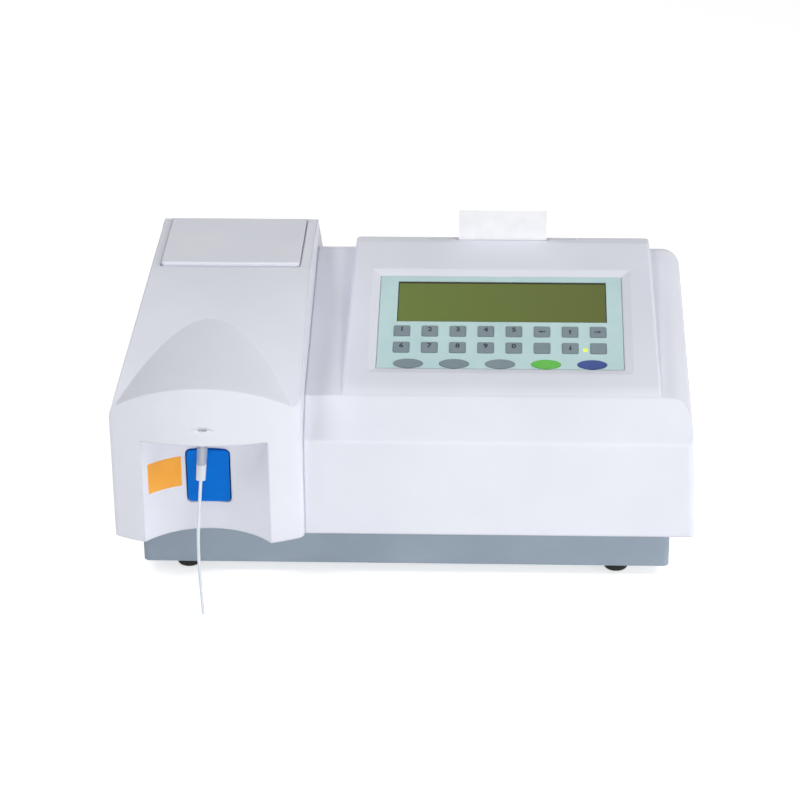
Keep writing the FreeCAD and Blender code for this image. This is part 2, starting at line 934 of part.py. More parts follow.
def lid_cuts():
    back = lid_back_y + lid_gap
    high = lid_top_z + overrun
    low = lid_axis_z - lid_boss_height - overrun
    seat = box(lid_span(lid_gap), (lid_front_y - lid_gap, back), (lid_low_z, high))
    bay = box(lid_span(-lid_margin), (lid_front_y + lid_margin, back), (low, high))
    trough = box(lid_span(lid_gap), (lid_axis_y - lid_barrel_radius - lid_gap, back), (low, high))
    span = lid_span(lid_pin_reach + lid_gap)
    holes = rod((span[0], lid_axis_y, lid_axis_z), (1, 0, 0), lid_pin_radius + hinge_play, span[1] - span[0])
    return [seat, bay, trough, holes]


def lid_bosses():
    y = (lid_axis_y - lid_barrel_radius - lid_gap, lid_back_y + lid_gap)
    z = (module_top_z - lid_boss_height, module_top_z - wall / 2)
    x0, x1 = lid_span(lid_gap)
    return [box((x0 - lid_boss_width, x0), y, z), box((x1, x1 + lid_boss_width), y, z)]


paddle_front_y = recess_back_y - paddle_proud
paddle_high_z = paddle_low_z + paddle_height
paddle_axis_z = paddle_high_z - paddle_axis_drop
paddle_axis_y = recess_back_y + paddle_axis_depth
bracket_y = recess_back_y + bracket_depth


def paddle_window():
    half = paddle_width / 2 + paddle_gap
    x = (module_mid_x - half, module_mid_x + half)
    y = (recess_back_y - 2 * wall, recess_back_y + 2 * wall)
    z = (paddle_low_z - paddle_foot_gap, paddle_high_z + paddle_gap)
    return rounded_y(x, y, z, paddle_corner + paddle_gap)


def side_boxes(inner_u, width, y, z):
    x = module_mid_x
    return [box((x - inner_u - width, x - inner_u), y, z), box((x + inner_u, x + inner_u + width), y, z)]


def paddle_supports():
    half = ear_height / 2
    ears = side_boxes(ear_u, ear_width, (recess_back_y - ear_reach, recess_back_y + ear_depth),
                      (paddle_axis_z - half, paddle_axis_z + half))
    posts = side_boxes(bracket_post_u, bracket_post_width, (recess_back_y - bracket_post_reach, bracket_y),
                       (bracket_low_z, bracket_high_z))
    return ears + posts


def brow_scoop():
    # Shallow notch over the probe, deepest under its arched top, with a blind slot in its middle
    low_z = scoop_top_z - scoop_height
    front = front_y - overrun
    back = front_y + scoop_depth
    disc = rod((module_mid_x, front, scoop_top_z - scoop_radius), (0, 1, 0), scoop_radius, back - front)
    wedge = [(front, low_z), (front_y, low_z), (back, scoop_top_z), (front, scoop_top_z)]
    scoop = disc.common(prism_x(wedge, (module_mid_x - scoop_radius, module_mid_x + scoop_radius)))
    half = scoop_slot_width / 2
    slot_top = scoop_top_z - scoop_slot_drop
    slot = box((module_mid_x - half, module_mid_x + half), (front, front_y + scoop_slot_depth),
               (slot_top - scoop_slot_height, slot_top))
    return [scoop, slot]


def module_housing():
    shell = module_form(0.0).cut(module_form(wall))
    extra = lid_bosses() + paddle_supports()
    extra += flange_boss(left_x + wall / 2, 1) + floor_boss(module_right_x - wall / 2, -1)
    shell = fused([shell] + extra)
    cuts = lid_cuts() + [paddle_window()] + brow_scoop()
    reach = ear_u + ear_width + overrun
    cuts.append(rod((module_mid_x - reach, paddle_axis_y, paddle_axis_z), (1, 0, 0),
                    paddle_pin_radius + hinge_play, 2 * reach))
    cuts.append(rod((module_mid_x + probe_shift, probe_y, recess_top_z - overrun), (0, 0, 1),
                    nipple_radius + tube_play, wall + 2 * overrun))
    cuts += pilot_holes(left_flange_screw_x, pan_top_z) + pilot_holes(module_floor_screw_x, pan_floor_z)
    return shell.cut(cuts)


save("main_housing", main_housing())
save("module_housing", module_housing())


# Lid and keys that move on the module

def cell_lid():
    x = lid_span(0.0)
    plate = rounded_z(x, (lid_front_y, lid_back_y), (lid_low_z, lid_top_z), lid_corner)
    behind = box(lid_span(overrun), (lid_axis_y, lid_back_y + overrun),
                 (lid_low_z - overrun, lid_top_z + overrun))
    barrel = rod((x[0], lid_axis_y, lid_axis_z), (1, 0, 0), lid_barrel_radius, lid_width)

    def top_rim(edge):
        b = edge.BoundBox
        level = abs(b.ZMin - lid_top_z) < hinge_play and abs(b.ZMax - lid_top_z) < hinge_play
        return level and b.YMin < lid_axis_y - overrun

    plate = round_where(plate.cut(behind), lid_edge, top_rim)
    rim_margin = -(lid_margin + lid_rim_gap)
    rim_y = (lid_front_y - rim_margin, lid_axis_y)
    z = (lid_low_z - lid_rim_drop, lid_low_z)
    rim = box(lid_span(rim_margin), rim_y, z)
    inner_y = (rim_y[0] + lid_rim_thick, lid_axis_y - lid_barrel_radius)
    rim = rim.cut(box(lid_span(rim_margin - lid_rim_thick), inner_y, z))
    rim = rim.cut(box(lid_span(0.0), (lid_axis_y - lid_barrel_radius, lid_axis_y + overrun), z))
    pins = lid_span(lid_pin_reach)
    pin = rod((pins[0], lid_axis_y, lid_axis_z), (1, 0, 0), lid_pin_radius, pins[1] - pins[0])
    return fused([plate, barrel, rim, pin])


def aspirate_key():
    half = paddle_width / 2
    x = (module_mid_x - half, module_mid_x + half)
    back = paddle_front_y + paddle_thick
    plate = rounded_y(x, (paddle_front_y, back), (paddle_low_z, paddle_high_z), paddle_corner)
    plate = round_where(plate, paddle_edge, lambda e: e.BoundBox.YMax < paddle_front_y + hinge_play)
    lugs = side_boxes(paddle_lug_u, paddle_lug_width, (back - overrun, paddle_axis_y),
                      (paddle_axis_z - paddle_lug_radius, paddle_axis_z + paddle_lug_radius))
    eye = paddle_lug_u + paddle_lug_width
    for side in (-1, 1):
        start = (module_mid_x + side * paddle_lug_u, paddle_axis_y, paddle_axis_z)
        lugs.append(rod(start, (side, 0, 0), paddle_lug_radius, paddle_lug_width))
        lugs.append(rod(start, (side, 0, 0), paddle_pin_radius, eye - paddle_lug_u + paddle_pin_reach))
    return fused([plate] + lugs)


def aspirate_switch():
    x = module_mid_x
    half = bracket_post_u + bracket_post_width
    middle_z = (bracket_low_z + bracket_high_z) / 2
    back = bracket_y + bracket_sheet
    sheet = box((x - half, x + half), (bracket_y, back), (bracket_low_z, bracket_high_z))
    body = block_at((x, bracket_y - switch_depth / 2, middle_z), (switch_width, switch_depth, switch_height))
    tip = bracket_y - switch_depth - switch_button_reach
    button = rod((x, tip, middle_z), (0, 1, 0), switch_button_radius, switch_button_reach + overrun)
    return fused([sheet, body, button])


# Sampling probe, its clear sleeve and its tube

probe_x = module_mid_x + probe_shift
sleeve_start = Vector(probe_x, probe_y, recess_top_z - nipple_drop + overrun)
sleeve_way = Vector(*sleeve_direction).normalize()


def hexagon(x, y, z, radius, height):
    corners = []
    for k in range(6):
        angle = k * math.pi / 3
        corners.append((x + radius * math.cos(angle), y + radius * math.sin(angle)))
    return prism_z(corners, (z, z + height))


def probe_fitting():
    low = recess_top_z - nipple_drop
    stem = rod((probe_x, probe_y, low), (0, 0, 1), nipple_radius, nipple_drop + wall + nipple_rise)
    collar_z = recess_top_z - nipple_collar_height
    collar = rod((probe_x, probe_y, collar_z), (0, 0, 1), nipple_collar_radius, nipple_collar_height)
    nut = hexagon(probe_x, probe_y, recess_top_z + wall, nipple_nut_radius, nipple_nut_height)
    start = sleeve_start - sleeve_way * nipple_radius
    tip = Part.makeCylinder(nipple_tube_radius, nipple_tube_length + nipple_radius, start, sleeve_way)
    return fused([stem, collar, nut, tip])


def probe_sleeve():
    skin = Part.makeCone(sleeve_radius, sleeve_end_radius, sleeve_length, sleeve_start, sleeve_way)
    bore = Part.makeCylinder(nipple_tube_radius + tube_play, nipple_tube_length + tube_play,
                             sleeve_start, sleeve_way)
    low = Part.makeCylinder(tube_radius + tube_play, sleeve_length + overrun, sleeve_start, sleeve_way)
    stem = rod((probe_x, probe_y, recess_top_z - nipple_drop), (0, 0, 1), nipple_radius + tube_play,
               nipple_drop)
    return skin.cut([bore, low, stem])


def bent_path(points):
    # Straight runs joined by arcs that touch them
    edges = []
    at = Vector(*points[0])
    for before, corner, after in zip(points, points[1:], points[2:]):
        a, b, c = Vector(*before), Vector(*corner), Vector(*after)
        back, on = (a - b).normalize(), (c - b).normalize()
        half_turn = (math.pi - back.getAngle(on)) / 2
        reach = tube_bend_share * min((a - b).Length, (c - b).Length)
        radius = reach / math.tan(half_turn)
        print("bend radius", round(radius, 2))
        first, last = b + back * reach, b + on * reach
        inward = (back + on).normalize()
        centre = b + inward * (radius / math.cos(half_turn))
        edges.append(Part.makeLine(at, first))
        edges.append(Part.Arc(first, centre - inward * radius, last).toShape())
        at = last
    edges.append(Part.makeLine(at, Vector(*points[-1])))
    return Part.Wire(edges)


def pipe(points, radius):
    path = bent_path(points)
    start = Vector(*points[0])
    way = Vector(*points[1]) - start
    ring = Part.Wire(Part.makeCircle(radius, start, way))
    solid = path.makePipeShell([ring], True, False)
    swept = math.pi * radius ** 2 * path.Length
    print("pipe volume", round(solid.Volume, 1), "section by length", round(swept, 1))
    return solid


def aspiration_tube():
    points = [(probe_x + x, probe_y + y, z) for x, y, z in tube_route]
    return pipe(points, tube_radius)


# Keypad, keys and display

def key_places():
    places = []
    for row, v in enumerate(key_row_v):
        for column in range(key_columns):
            name = "key_row" + str(row + 1) + "_" + str(column + 1)
            places.append((name, key_first_u + column * key_pitch, v))
    return places


def oval_places():
    return [("oval_key_" + str(k + 1), oval_first_u + k * oval_pitch, oval_v) for k in range(oval_count)]


def square_form(u, v, grow, w):
    half = key_size / 2 + grow
    return rounded_z((u - half, u + half), (v - half, v + half), w, key_corner + grow)


def oval_form(u, v, grow, w):
    outline = Part.Ellipse(Vector(u, v, w[0]), oval_length / 2 + grow, oval_height / 2 + grow)
    face = Part.Face(Part.Wire([outline.toShape()]))
    return face.extrude(Vector(0, 0, w[1] - w[0]))


def membrane_keypad():
    sheet = keypad_plate(0.0, (-keypad_thick, 0.0))
    floor = key_proud - key_thick - key_travel - key_floor_gap
    cuts = [display_hole(keypad_gap, (-keypad_thick - overrun, overrun))]
    cuts += [square_form(u, v, key_play, (floor, overrun)) for _, u, v in key_places()]
    cuts += [oval_form(u, v, key_play, (floor, overrun)) for _, u, v in oval_places()]
    return on_panel(sheet.cut(cuts))


def save_keys():
    w = (key_proud - key_thick, key_proud)
    for name, u, v in key_places():
        save(name, on_panel(square_form(u, v, 0.0, w)))
    for name, u, v in oval_places():
        save(name, on_panel(oval_form(u, v, 0.0, w)))


def display_module():
    seat_low = -keypad_thick - seat_thick
    glass = display_hole(0.0, (seat_low - overrun, -display_sink))
    case_low = seat_low - display_case_thick
    case = block_at((0.0, 0.0, (seat_low + case_low) / 2),
                    (display_case_width, display_case_height, display_case_thick))
    board_low = case_low - display_board_thick
    board = block_at((0.0, 0.0, (case_low + board_low) / 2),
                     (display_board_width, display_case_height, display_board_thick))
    return on_panel(fused([glass, case, board]))


# Base pan, feet and screws

def base_pan():
    x = (pan_left_x, pan_right_x)
    tray = rounded_z(x, (pan_front_y, pan_back_y), (pan_bottom_z, pan_top_z), pan_corner)
    x_in = (x[0] + pan_sheet, x[1] - pan_sheet)
    y_in = (pan_front_y + pan_sheet, pan_back_y - pan_sheet)
    tray = tray.cut(rounded_z(x_in, y_in, (pan_floor_z, pan_top_z + overrun), pan_corner - pan_sheet))
    z = (pan_top_z - pan_sheet, pan_top_z)
    flange_y = (boss_front_y - boss_width, boss_back_y + boss_width)
    flanges = [box((x[0] - flange_reach, x[0] + pan_sheet / 2), flange_y, z),
               box((x[1] - pan_sheet / 2, x[1] + flange_reach), flange_y, z)]
    tray = fused([tray] + flanges)
    radius = screw_radius + screw_play
    cuts = []
    for y in screw_ys:
        for hole_x, low in screw_spots():
            cuts.append(rod((hole_x, y, low - overrun), (0, 0, 1), radius, pan_sheet + 2 * overrun))
    # Notches in both end walls for the housings' inner walls
    notch = (module_right_x - wall - pan_notch_gap, block_left_x + wall + pan_notch_gap)
    cuts.append(box(notch, (pan_front_y - overrun, pan_back_y + overrun),
                    (skirt_z - play, pan_top_z + overrun)))
    for k in range(vent_count):
        start = panel_x + (k - vent_count / 2) * vent_pitch
        cuts.append(box((start, start + vent_slot), (-vent_length / 2, vent_length / 2),
                        (pan_bottom_z - overrun, pan_floor_z + overrun)))
    return tray.cut(cuts)


def screw_spots():
    flange_low = pan_top_z - pan_sheet
    return [(left_flange_screw_x, flange_low), (module_floor_screw_x, pan_bottom_z),
            (block_floor_screw_x, pan_bottom_z), (right_flange_screw_x, flange_low)]


def case_screws():
    screws = []
    for y in screw_ys:
        for x, low in screw_spots():
            head = rod((x, y, low - screw_head_height), (0, 0, 1), screw_head_radius, screw_head_height)
            shank = rod((x, y, low - overrun), (0, 0, 1), screw_radius, screw_length + overrun)
            screws.append(fused([head, shank]))
    return Part.makeCompound(screws)


def rubber_feet():
    feet = []
    for x in (pan_left_x + foot_left_inset, pan_right_x - foot_right_inset):
        for y in (pan_front_y + foot_front_inset, pan_back_y - foot_back_inset):
            foot = rod((x, y, 0.0), (0, 0, 1), foot_radius, pan_bottom_z)
            feet.append(round_where(foot, foot_round, lambda e: e.BoundBox.ZMax < foot_round))
    return Part.makeCompound(feet)


# Optical bench, flow cell, filter wheel, lamp and detector

axis_x = left_x + axis_inset
bench_x = (left_x + bench_left_room, module_right_x - bench_right_room)
bench_y = (front_y + bench_front_room, rear_y - bench_back_room)
wheel_x = axis_x + wheel_pitch_radius


def optical_bench():
    plate = box(bench_x, bench_y, (bench_top_z - bench_thick, bench_top_z))
    legs = []
    leg_length = bench_top_z - bench_thick - pan_floor_z
    for x in (bench_x[0] + bench_leg_inset, bench_x[1] - bench_leg_inset):
        for y in (bench_y[0] + bench_leg_inset, bench_y[1] - bench_leg_inset):
            legs.append(rod((x, y, pan_floor_z), (0, 0, 1), bench_leg_radius, leg_length))
    return fused([plate] + legs)


def on_bench(x, y, width, length, height):
    return box((x - width / 2, x + width / 2), (y, y + length), (bench_top_z, bench_top_z + height))


def flow_cell_block():
    body = on_bench(axis_x, cell_block_y, cell_block_width, cell_block_length, cell_block_height)
    middle = cell_block_y + cell_block_length / 2
    half = cell_size / 2 + cell_gap
    pocket = box((axis_x - half, axis_x + half), (middle - half, middle + half),
                 (cell_low_z, bench_top_z + cell_block_height + overrun))
    bore = rod((axis_x, cell_block_y - overrun, optic_z), (0, 1, 0), light_bore_radius,
               cell_block_length + 2 * overrun)
    return body.cut([pocket, bore])


def flow_cell():
    middle = cell_block_y + cell_block_length / 2
    half = cell_size / 2
    high = cell_low_z + cell_length
    body = box((axis_x - half, axis_x + half), (middle - half, middle + half), (cell_low_z, high))
    cap = rod((axis_x, middle, high - overrun), (0, 0, 1), cell_cap_radius, cell_cap_height + overrun)
    return fused([body, cap])


def filter_spots():
    spots = []
    for k in range(filter_count):
        angle = math.pi + 2 * math.pi * k / filter_count
        spots.append((wheel_x + wheel_pitch_radius * math.cos(angle),
                      optic_z + wheel_pitch_radius * math.sin(angle)))
    return spots


def filter_wheel():
    disc = rod((wheel_x, wheel_y, optic_z), (0, 1, 0), wheel_radius, wheel_thick)
    hub = rod((wheel_x, wheel_y, optic_z), (0, 1, 0), wheel_hub_radius, wheel_thick + wheel_hub_length)
    cuts = [rod((wheel_x, wheel_y - overrun, optic_z), (0, 1, 0), wheel_shaft_radius + hinge_play,
                wheel_thick + wheel_hub_length + 2 * overrun)]
    seat_radius = filter_radius + filter_gap
    for x, z in filter_spots():
        cuts.append(rod((x, wheel_y - overrun, z), (0, 1, 0), seat_radius, wheel_thick + 2 * overrun))
    return fused([disc, hub]).cut(cuts)


def interference_filters():
    start = wheel_y + (wheel_thick - filter_thick) / 2
    discs = [rod((x, start, z), (0, 1, 0), filter_radius, filter_thick) for x, z in filter_spots()]
    return Part.makeCompound(discs)


def filter_motor():
    can = rod((wheel_x, wheel_motor_y, optic_z), (0, 1, 0), wheel_motor_radius, wheel_motor_length)
    shaft = rod((wheel_x, wheel_y, optic_z), (0, 1, 0), wheel_shaft_radius, wheel_motor_y - wheel_y + overrun)
    half = wheel_motor_radius - overrun
    foot = box((wheel_x - half, wheel_x + half), (wheel_motor_y, wheel_motor_y + wheel_motor_length),
               (bench_top_z, optic_z))
    return fused([can, shaft, foot])


def lamp_housing():
    body = on_bench(axis_x, lamp_house_y, lamp_house_width, lamp_house_length, lamp_house_height)
    cuts = [rod((axis_x, lamp_house_y - overrun, optic_z), (0, 1, 0), light_bore_radius,
                lamp_house_length / 2 + overrun)]
    middle = lamp_house_y + lamp_house_length / 2
    high = bench_top_z + lamp_house_height
    cuts.append(rod((axis_x, middle, optic_z - 2 * lamp_cavity_radius), (0, 0, 1), lamp_cavity_radius,
                    high - optic_z + 2 * lamp_cavity_radius - wall))
    pitch = (lamp_house_length - lamp_fin_gap) / lamp_fin_count
    for k in range(lamp_fin_count):
        y = lamp_house_y + lamp_fin_gap + k * pitch
        for edge in (axis_x - lamp_house_width / 2, axis_x + lamp_house_width / 2 - lamp_fin_depth):
            cuts.append(box((edge, edge + lamp_fin_depth), (y, y + lamp_fin_gap),
                            (bench_top_z + bench_thick, high + overrun)))
    return body.cut(cuts)


def photodetector():
    start = cell_block_y - detector_length
    body = on_bench(axis_x, start, detector_width, detector_length, detector_height)
    window = rod((axis_x, cell_block_y - wall, optic_z), (0, 1, 0), light_bore_radius, wall + overrun)
    return body.cut(window)


# Peristaltic pump

pump_x = module_right_x - pump_inset
track_low_z = bench_top_z + pump_base_height
track_high_z = track_low_z + pump_track_height
rotor_low_z = track_low_z + pump_floor_gap
rotor_high_z = rotor_low_z + pump_rotor_height
pump_tube_z = (rotor_low_z + rotor_high_z) / 2


def pump_head():
    base = rod((pump_x, pump_y, bench_top_z), (0, 0, 1), pump_radius, pump_base_height + pump_track_height)
    hollow = rod((pump_x, pump_y, track_low_z), (0, 0, 1), pump_track_radius, pump_track_height + overrun)
    front = box((pump_x - pump_track_radius, pump_x + pump_track_radius),
                (pump_y - pump_radius - overrun, pump_y), (track_low_z, track_high_z + overrun))
    shaft = rod((pump_x, pump_y, track_low_z - overrun), (0, 0, 1), pump_shaft_radius,
                pump_rotor_height + overrun)
    return fused([base.cut([hollow, front]), shaft])


def roller_spots():
    spots = []
    for k in range(roller_count):
        angle = math.pi / 2 + 2 * math.pi * k / roller_count
        spots.append((pump_x + roller_circle * math.cos(angle), pump_y + roller_circle * math.sin(angle)))
    return spots


def pump_rotor():
    shapes = [rod((pump_x, pump_y, z), (0, 0, 1), pump_disc_radius, pump_disc_thick)
              for z in (rotor_low_z, rotor_high_z - pump_disc_thick)]
    shapes.append(rod((pump_x, pump_y, rotor_low_z), (0, 0, 1), pump_hub_radius, pump_rotor_height))
    for x, y in roller_spots():
        shapes.append(rod((x, y, rotor_low_z), (0, 0, 1), roller_pin_radius, pump_rotor_height))
    bore = rod((pump_x, pump_y, rotor_low_z - overrun), (0, 0, 1), pump_shaft_radius + hinge_play,
               pump_rotor_height + 2 * overrun)
    return fused(shapes).cut(bore)


def pump_rollers():
    rollers = []
    low = rotor_low_z + pump_disc_thick + roller_end_gap
    high = rotor_high_z - pump_disc_thick - roller_end_gap
    for x, y in roller_spots():
        roller = rod((x, y, low), (0, 0, 1), roller_radius, high - low)
        hub = rod((pump_x, pump_y, low - overrun), (0, 0, 1), pump_hub_radius + roller_end_gap, high)
        bore = rod((x, y, low - overrun), (0, 0, 1), roller_pin_radius + hinge_play, high)
        rollers.append(roller.cut([bore, hub]))
    return Part.makeCompound(rollers)


def pump_tubing():
    radius = pump_track_radius - pump_tube_radius - tube_play
    z = pump_tube_z
    left, right = Vector(pump_x - radius, pump_y, z), Vector(pump_x + radius, pump_y, z)
    top = Vector(pump_x, pump_y + radius, z)
    low_y = pump_y - pump_leg
    start = Vector(left.x, low_y, z)
    path = Part.Wire([Part.makeLine(start, left), Part.Arc(left, top, right).toShape(),
                      Part.makeLine(right, Vector(right.x, low_y, z))])
    ring = Part.Wire(Part.makeCircle(pump_tube_radius, start, Vector(0, 1, 0)))
    return path.makePipeShell([ring], True, False)


# Electronics in the main block

def main_board():
    x0 = block_left_x + board_left_inset
    low = pan_floor_z + board_standoff
    high = low + board_thick
    x = (x0, x0 + board_width)
    y = (pan_front_y + board_front_room, pan_back_y - board_back_room)
    board_length = y[1] - y[0]
    shapes = [box(x, y, (low, high))]
    for post_x in (x[0] + board_hole_inset, x[1] - board_hole_inset):
        for post_y in (y[0] + board_hole_inset, y[1] - board_hole_inset):
            shapes.append(rod((post_x, post_y, pan_floor_z), (0, 0, 1), standoff_radius,
                              board_standoff + overrun))
    chip_z = high + (chip_height - overrun) / 2
    for share_x, share_y in chip_shares:
        middle = (x[0] + share_x * board_width, y[0] + share_y * board_length, chip_z)
        shapes.append(block_at(middle, (chip_side, chip_side, chip_height + overrun)))
    for share_x, share_y in capacitor_shares:
        at = (x[0] + share_x * board_width, y[0] + share_y * board_length, high - overrun)
        shapes.append(rod(at, (0, 0, 1), capacitor_radius, capacitor_height + overrun))
    return fused(shapes)


def power_supply():
    x1 = pan_right_x - supply_right_inset
    x0 = x1 - supply_width
    back = pan_back_y - supply_back_room
    y = (back - supply_length, back)
    body = box((x0, x1), y, (pan_floor_z, pan_floor_z + supply_height))
    cuts = []
    for k in range(vent_count):
        start = y[0] + supply_length / 2 + (k - vent_count / 2) * vent_pitch
        cuts.append(box((x0 + wall, x1 - wall), (start, start + vent_slot),
                        (pan_floor_z + supply_height - pan_sheet, pan_floor_z + supply_height + overrun)))
    return body.cut(cuts)


# Rear panel, mains inlet and switch, fan, port and waste outlet

panel_left_x = block_left_x + rear_panel_left_inset
panel_out_y = rear_y - wall
panel_in_y = panel_out_y - rear_panel_sheet
rear_mid_z = rear_panel_low_z + rear_mid_v
inlet_x = panel_left_x + inlet_u
socket_x = inlet_x + inlet_shift
rocker_x = inlet_x + rocker_shift
fan_x = panel_left_x + fan_u
port_x = panel_left_x + port_u
barb_x = panel_left_x + barb_u
rocker_pivot_y = panel_out_y - rocker_pivot_depth


def through_y(x, z, width, height, y):
    return box((x - width / 2, x + width / 2), y, (z - height / 2, z + height / 2))


def grille_cuts():
    y = (panel_in_y - overrun, panel_out_y + overrun)
    disc = rod((fan_x, y[0], rear_mid_z), (0, 1, 0), fan_bore_radius, y[1] - y[0])
    keep = []
    for k in range(grille_ring_count):
        outer = grille_ring_pitch * k + grille_ring_width
        ring = rod((fan_x, y[0], rear_mid_z), (0, 1, 0), outer, y[1] - y[0])
        if k > 0:
            ring = ring.cut(rod((fan_x, y[0], rear_mid_z), (0, 1, 0), outer - grille_ring_width, y[1] - y[0]))
        keep.append(ring)
    bar = through_y(fan_x, rear_mid_z, 2 * fan_bore_radius + overrun, grille_bar_width, y)
    for side in (-1, 1):
        keep.append(turned(bar, (fan_x, 0, rear_mid_z), (0, 1, 0), side * grille_bar_angle))
    return disc.cut(keep)


def rear_panel():
    x = (panel_left_x - rear_panel_lap, panel_left_x + rear_panel_width + rear_panel_lap)
    z = (rear_panel_low_z - rear_panel_lap, rear_panel_low_z + rear_panel_height + rear_panel_lap)
    sheet = rounded_y(x, (panel_in_y, panel_out_y), z, rear_panel_corner)
    y = (panel_in_y - overrun, panel_out_y + overrun)
    cuts = [grille_cuts()]
    extra = 2 * panel_hole_gap
    cuts.append(through_y(socket_x, rear_mid_z, inlet_width + extra, inlet_height + extra, y))
    case = rocker_width + 2 * (rocker_side_gap + inlet_shell)
    cuts.append(through_y(rocker_x, rear_mid_z, case + extra, 2 * (rocker_room + inlet_shell) + extra, y))
    cuts.append(through_y(port_x, rear_mid_z, port_shell_width + extra, port_shell_height + extra, y))
    cuts.append(rod((barb_x, y[0], rear_mid_z), (0, 1, 0), barb_radius + tube_play, y[1] - y[0]))
    return sheet.cut(cuts)


def mains_inlet():
    face = panel_out_y + inlet_flange_thick
    half_width = inlet_flange_width / 2
    half_height = inlet_flange_height / 2
    flange = rounded_y((inlet_x - half_width, inlet_x + half_width), (panel_out_y, face),
                       (rear_mid_z - half_height, rear_mid_z + half_height), inlet_flange_corner)
    body = through_y(socket_x, rear_mid_z, inlet_width, inlet_height,
                     (panel_out_y - inlet_depth, panel_out_y))
    case_width = rocker_width + 2 * (rocker_side_gap + inlet_shell)
    case = through_y(rocker_x, rear_mid_z, case_width, 2 * (rocker_room + inlet_shell),
                     (panel_out_y - rocker_case_depth, panel_out_y))
    well_width = rocker_width + 2 * rocker_side_gap
    well = through_y(rocker_x, rear_mid_z, well_width, 2 * rocker_room,
                     (panel_out_y - rocker_case_depth + inlet_shell, face + overrun))
    socket_back = panel_out_y - inlet_depth + inlet_shell
    socket = through_y(socket_x, rear_mid_z, inlet_width - 2 * inlet_shell, inlet_height - 2 * inlet_shell,
                       (socket_back, face + overrun))
    pin_half = well_width / 2 + rocker_pin_reach
    pin_hole = rod((rocker_x - pin_half, rocker_pivot_y, rear_mid_z), (1, 0, 0),
                   rocker_pin_radius + hinge_play, 2 * pin_half)
    shapes = [fused([flange, body, case]).cut([well, socket, pin_hole])]
    for k in (-1, 0, 1):
        shapes.append(through_y(socket_x + k * inlet_pin_pitch, rear_mid_z, inlet_pin_width, inlet_pin_height,
                                (socket_back - overrun, socket_back + inlet_pin_length)))
    return fused(shapes)


def power_rocker():
    out = rocker_pivot_y + rocker_reach
    dip = rocker_pivot_y + rocker_reach_middle
    back = rocker_pivot_y - rocker_back
    z = rear_mid_z
    outline = [(back, z - rocker_half_back), (out, z - rocker_half_front), (dip, z),
               (out, z + rocker_half_front), (back, z + rocker_half_back)]
    half = rocker_width / 2
    body = prism_x(outline, (rocker_x - half, rocker_x + half))
    reach = half + rocker_side_gap + rocker_pin_reach - hinge_play
    pin = rod((rocker_x - reach, rocker_pivot_y, rear_mid_z), (1, 0, 0), rocker_pin_radius, 2 * reach)
    return turned(fused([body, pin]), (rocker_x, rocker_pivot_y, rear_mid_z), (1, 0, 0), rocker_tilt)


def fan_frame():
    half = fan_size / 2
    y = (panel_in_y - fan_thick, panel_in_y)
    body = rounded_y((fan_x - half, fan_x + half), y, (rear_mid_z - half, rear_mid_z + half), fan_corner)
    body = body.cut(rod((fan_x, y[0] - overrun, rear_mid_z), (0, 1, 0), fan_bore_radius,
                        fan_thick + 2 * overrun))
    shapes = [body]
    strut = through_y(fan_x, rear_mid_z, 2 * fan_bore_radius + overrun, fan_strut_width,
                      (y[0], y[0] + fan_strut_thick))
    for k in range(fan_strut_count):
        shapes.append(turned(strut, (fan_x, 0, rear_mid_z), (0, 1, 0), 180 * k / fan_strut_count))
    shapes.append(rod((fan_x, y[0], rear_mid_z), (0, 1, 0), fan_hub_radius, fan_strut_thick))
    shapes.append(rod((fan_x, y[0], rear_mid_z), (0, 1, 0), fan_pin_radius, fan_thick - fan_strut_thick))
    return fused(shapes)


def fan_rotor():
    start = panel_in_y - fan_thick + fan_strut_thick + fan_back_room
    hub = rod((fan_x, start, rear_mid_z), (0, 1, 0), fan_hub_radius, fan_rotor_thick)
    blades = []
    for k in range(fan_blade_count):
        middle = start + fan_rotor_thick / 2
        blade = block_at((fan_x, middle, rear_mid_z + (fan_hub_radius + fan_blade_radius) / 2),
                         (fan_blade_thick, fan_blade_chord, fan_blade_radius - fan_hub_radius + 2 * overrun))
        blade = turned(blade, (fan_x, middle, rear_mid_z), (0, 0, 1), fan_blade_pitch)
        blades.append(turned(blade, (fan_x, 0, rear_mid_z), (0, 1, 0), 360 * k / fan_blade_count))
    sweep = rod((fan_x, start, rear_mid_z), (0, 1, 0), fan_blade_radius, fan_rotor_thick)
    body = fused([hub] + [blade.common(sweep) for blade in blades])
    return body.cut(rod((fan_x, start - overrun, rear_mid_z), (0, 1, 0), fan_pin_radius + hinge_play,
                        fan_rotor_thick + 2 * overrun))


def data_port():
    flange = through_y(port_x, rear_mid_z, port_width, port_height, (panel_out_y, panel_out_y + port_flange))
    shell = through_y(port_x, rear_mid_z, port_shell_width, port_shell_height,
                      (panel_in_y - port_depth, panel_out_y + port_reach))
    walls = 2 * port_wall
    hollow = through_y(port_x, rear_mid_z, port_shell_width - walls, port_shell_height - walls,
                       (panel_out_y, panel_out_y + port_reach + overrun))
    return fused([flange, shell]).cut(hollow)


def waste_outlet():
    low = panel_in_y - barb_tail
    tube = rod((barb_x, low, rear_mid_z), (0, 1, 0), barb_radius, panel_out_y + barb_reach - low)
    shapes = [tube]
    for nut_y in (panel_in_y - barb_nut_thick, panel_out_y):
        shapes.append(rod((barb_x, nut_y, rear_mid_z), (0, 1, 0), barb_nut_radius, barb_nut_thick))
    for k in range(barb_rib_count):
        start = panel_out_y + barb_reach - (k + 1) * barb_rib_length
        shapes.append(Part.makeCone(barb_rib_radius, barb_radius, barb_rib_length,
                                    Vector(barb_x, start, rear_mid_z), Vector(0, 1, 0)))
    bore = rod((barb_x, low - overrun, rear_mid_z), (0, 1, 0), barb_bore_radius,
               panel_out_y + barb_reach - low + 2 * overrun)
    return fused(shapes).cut(bore)


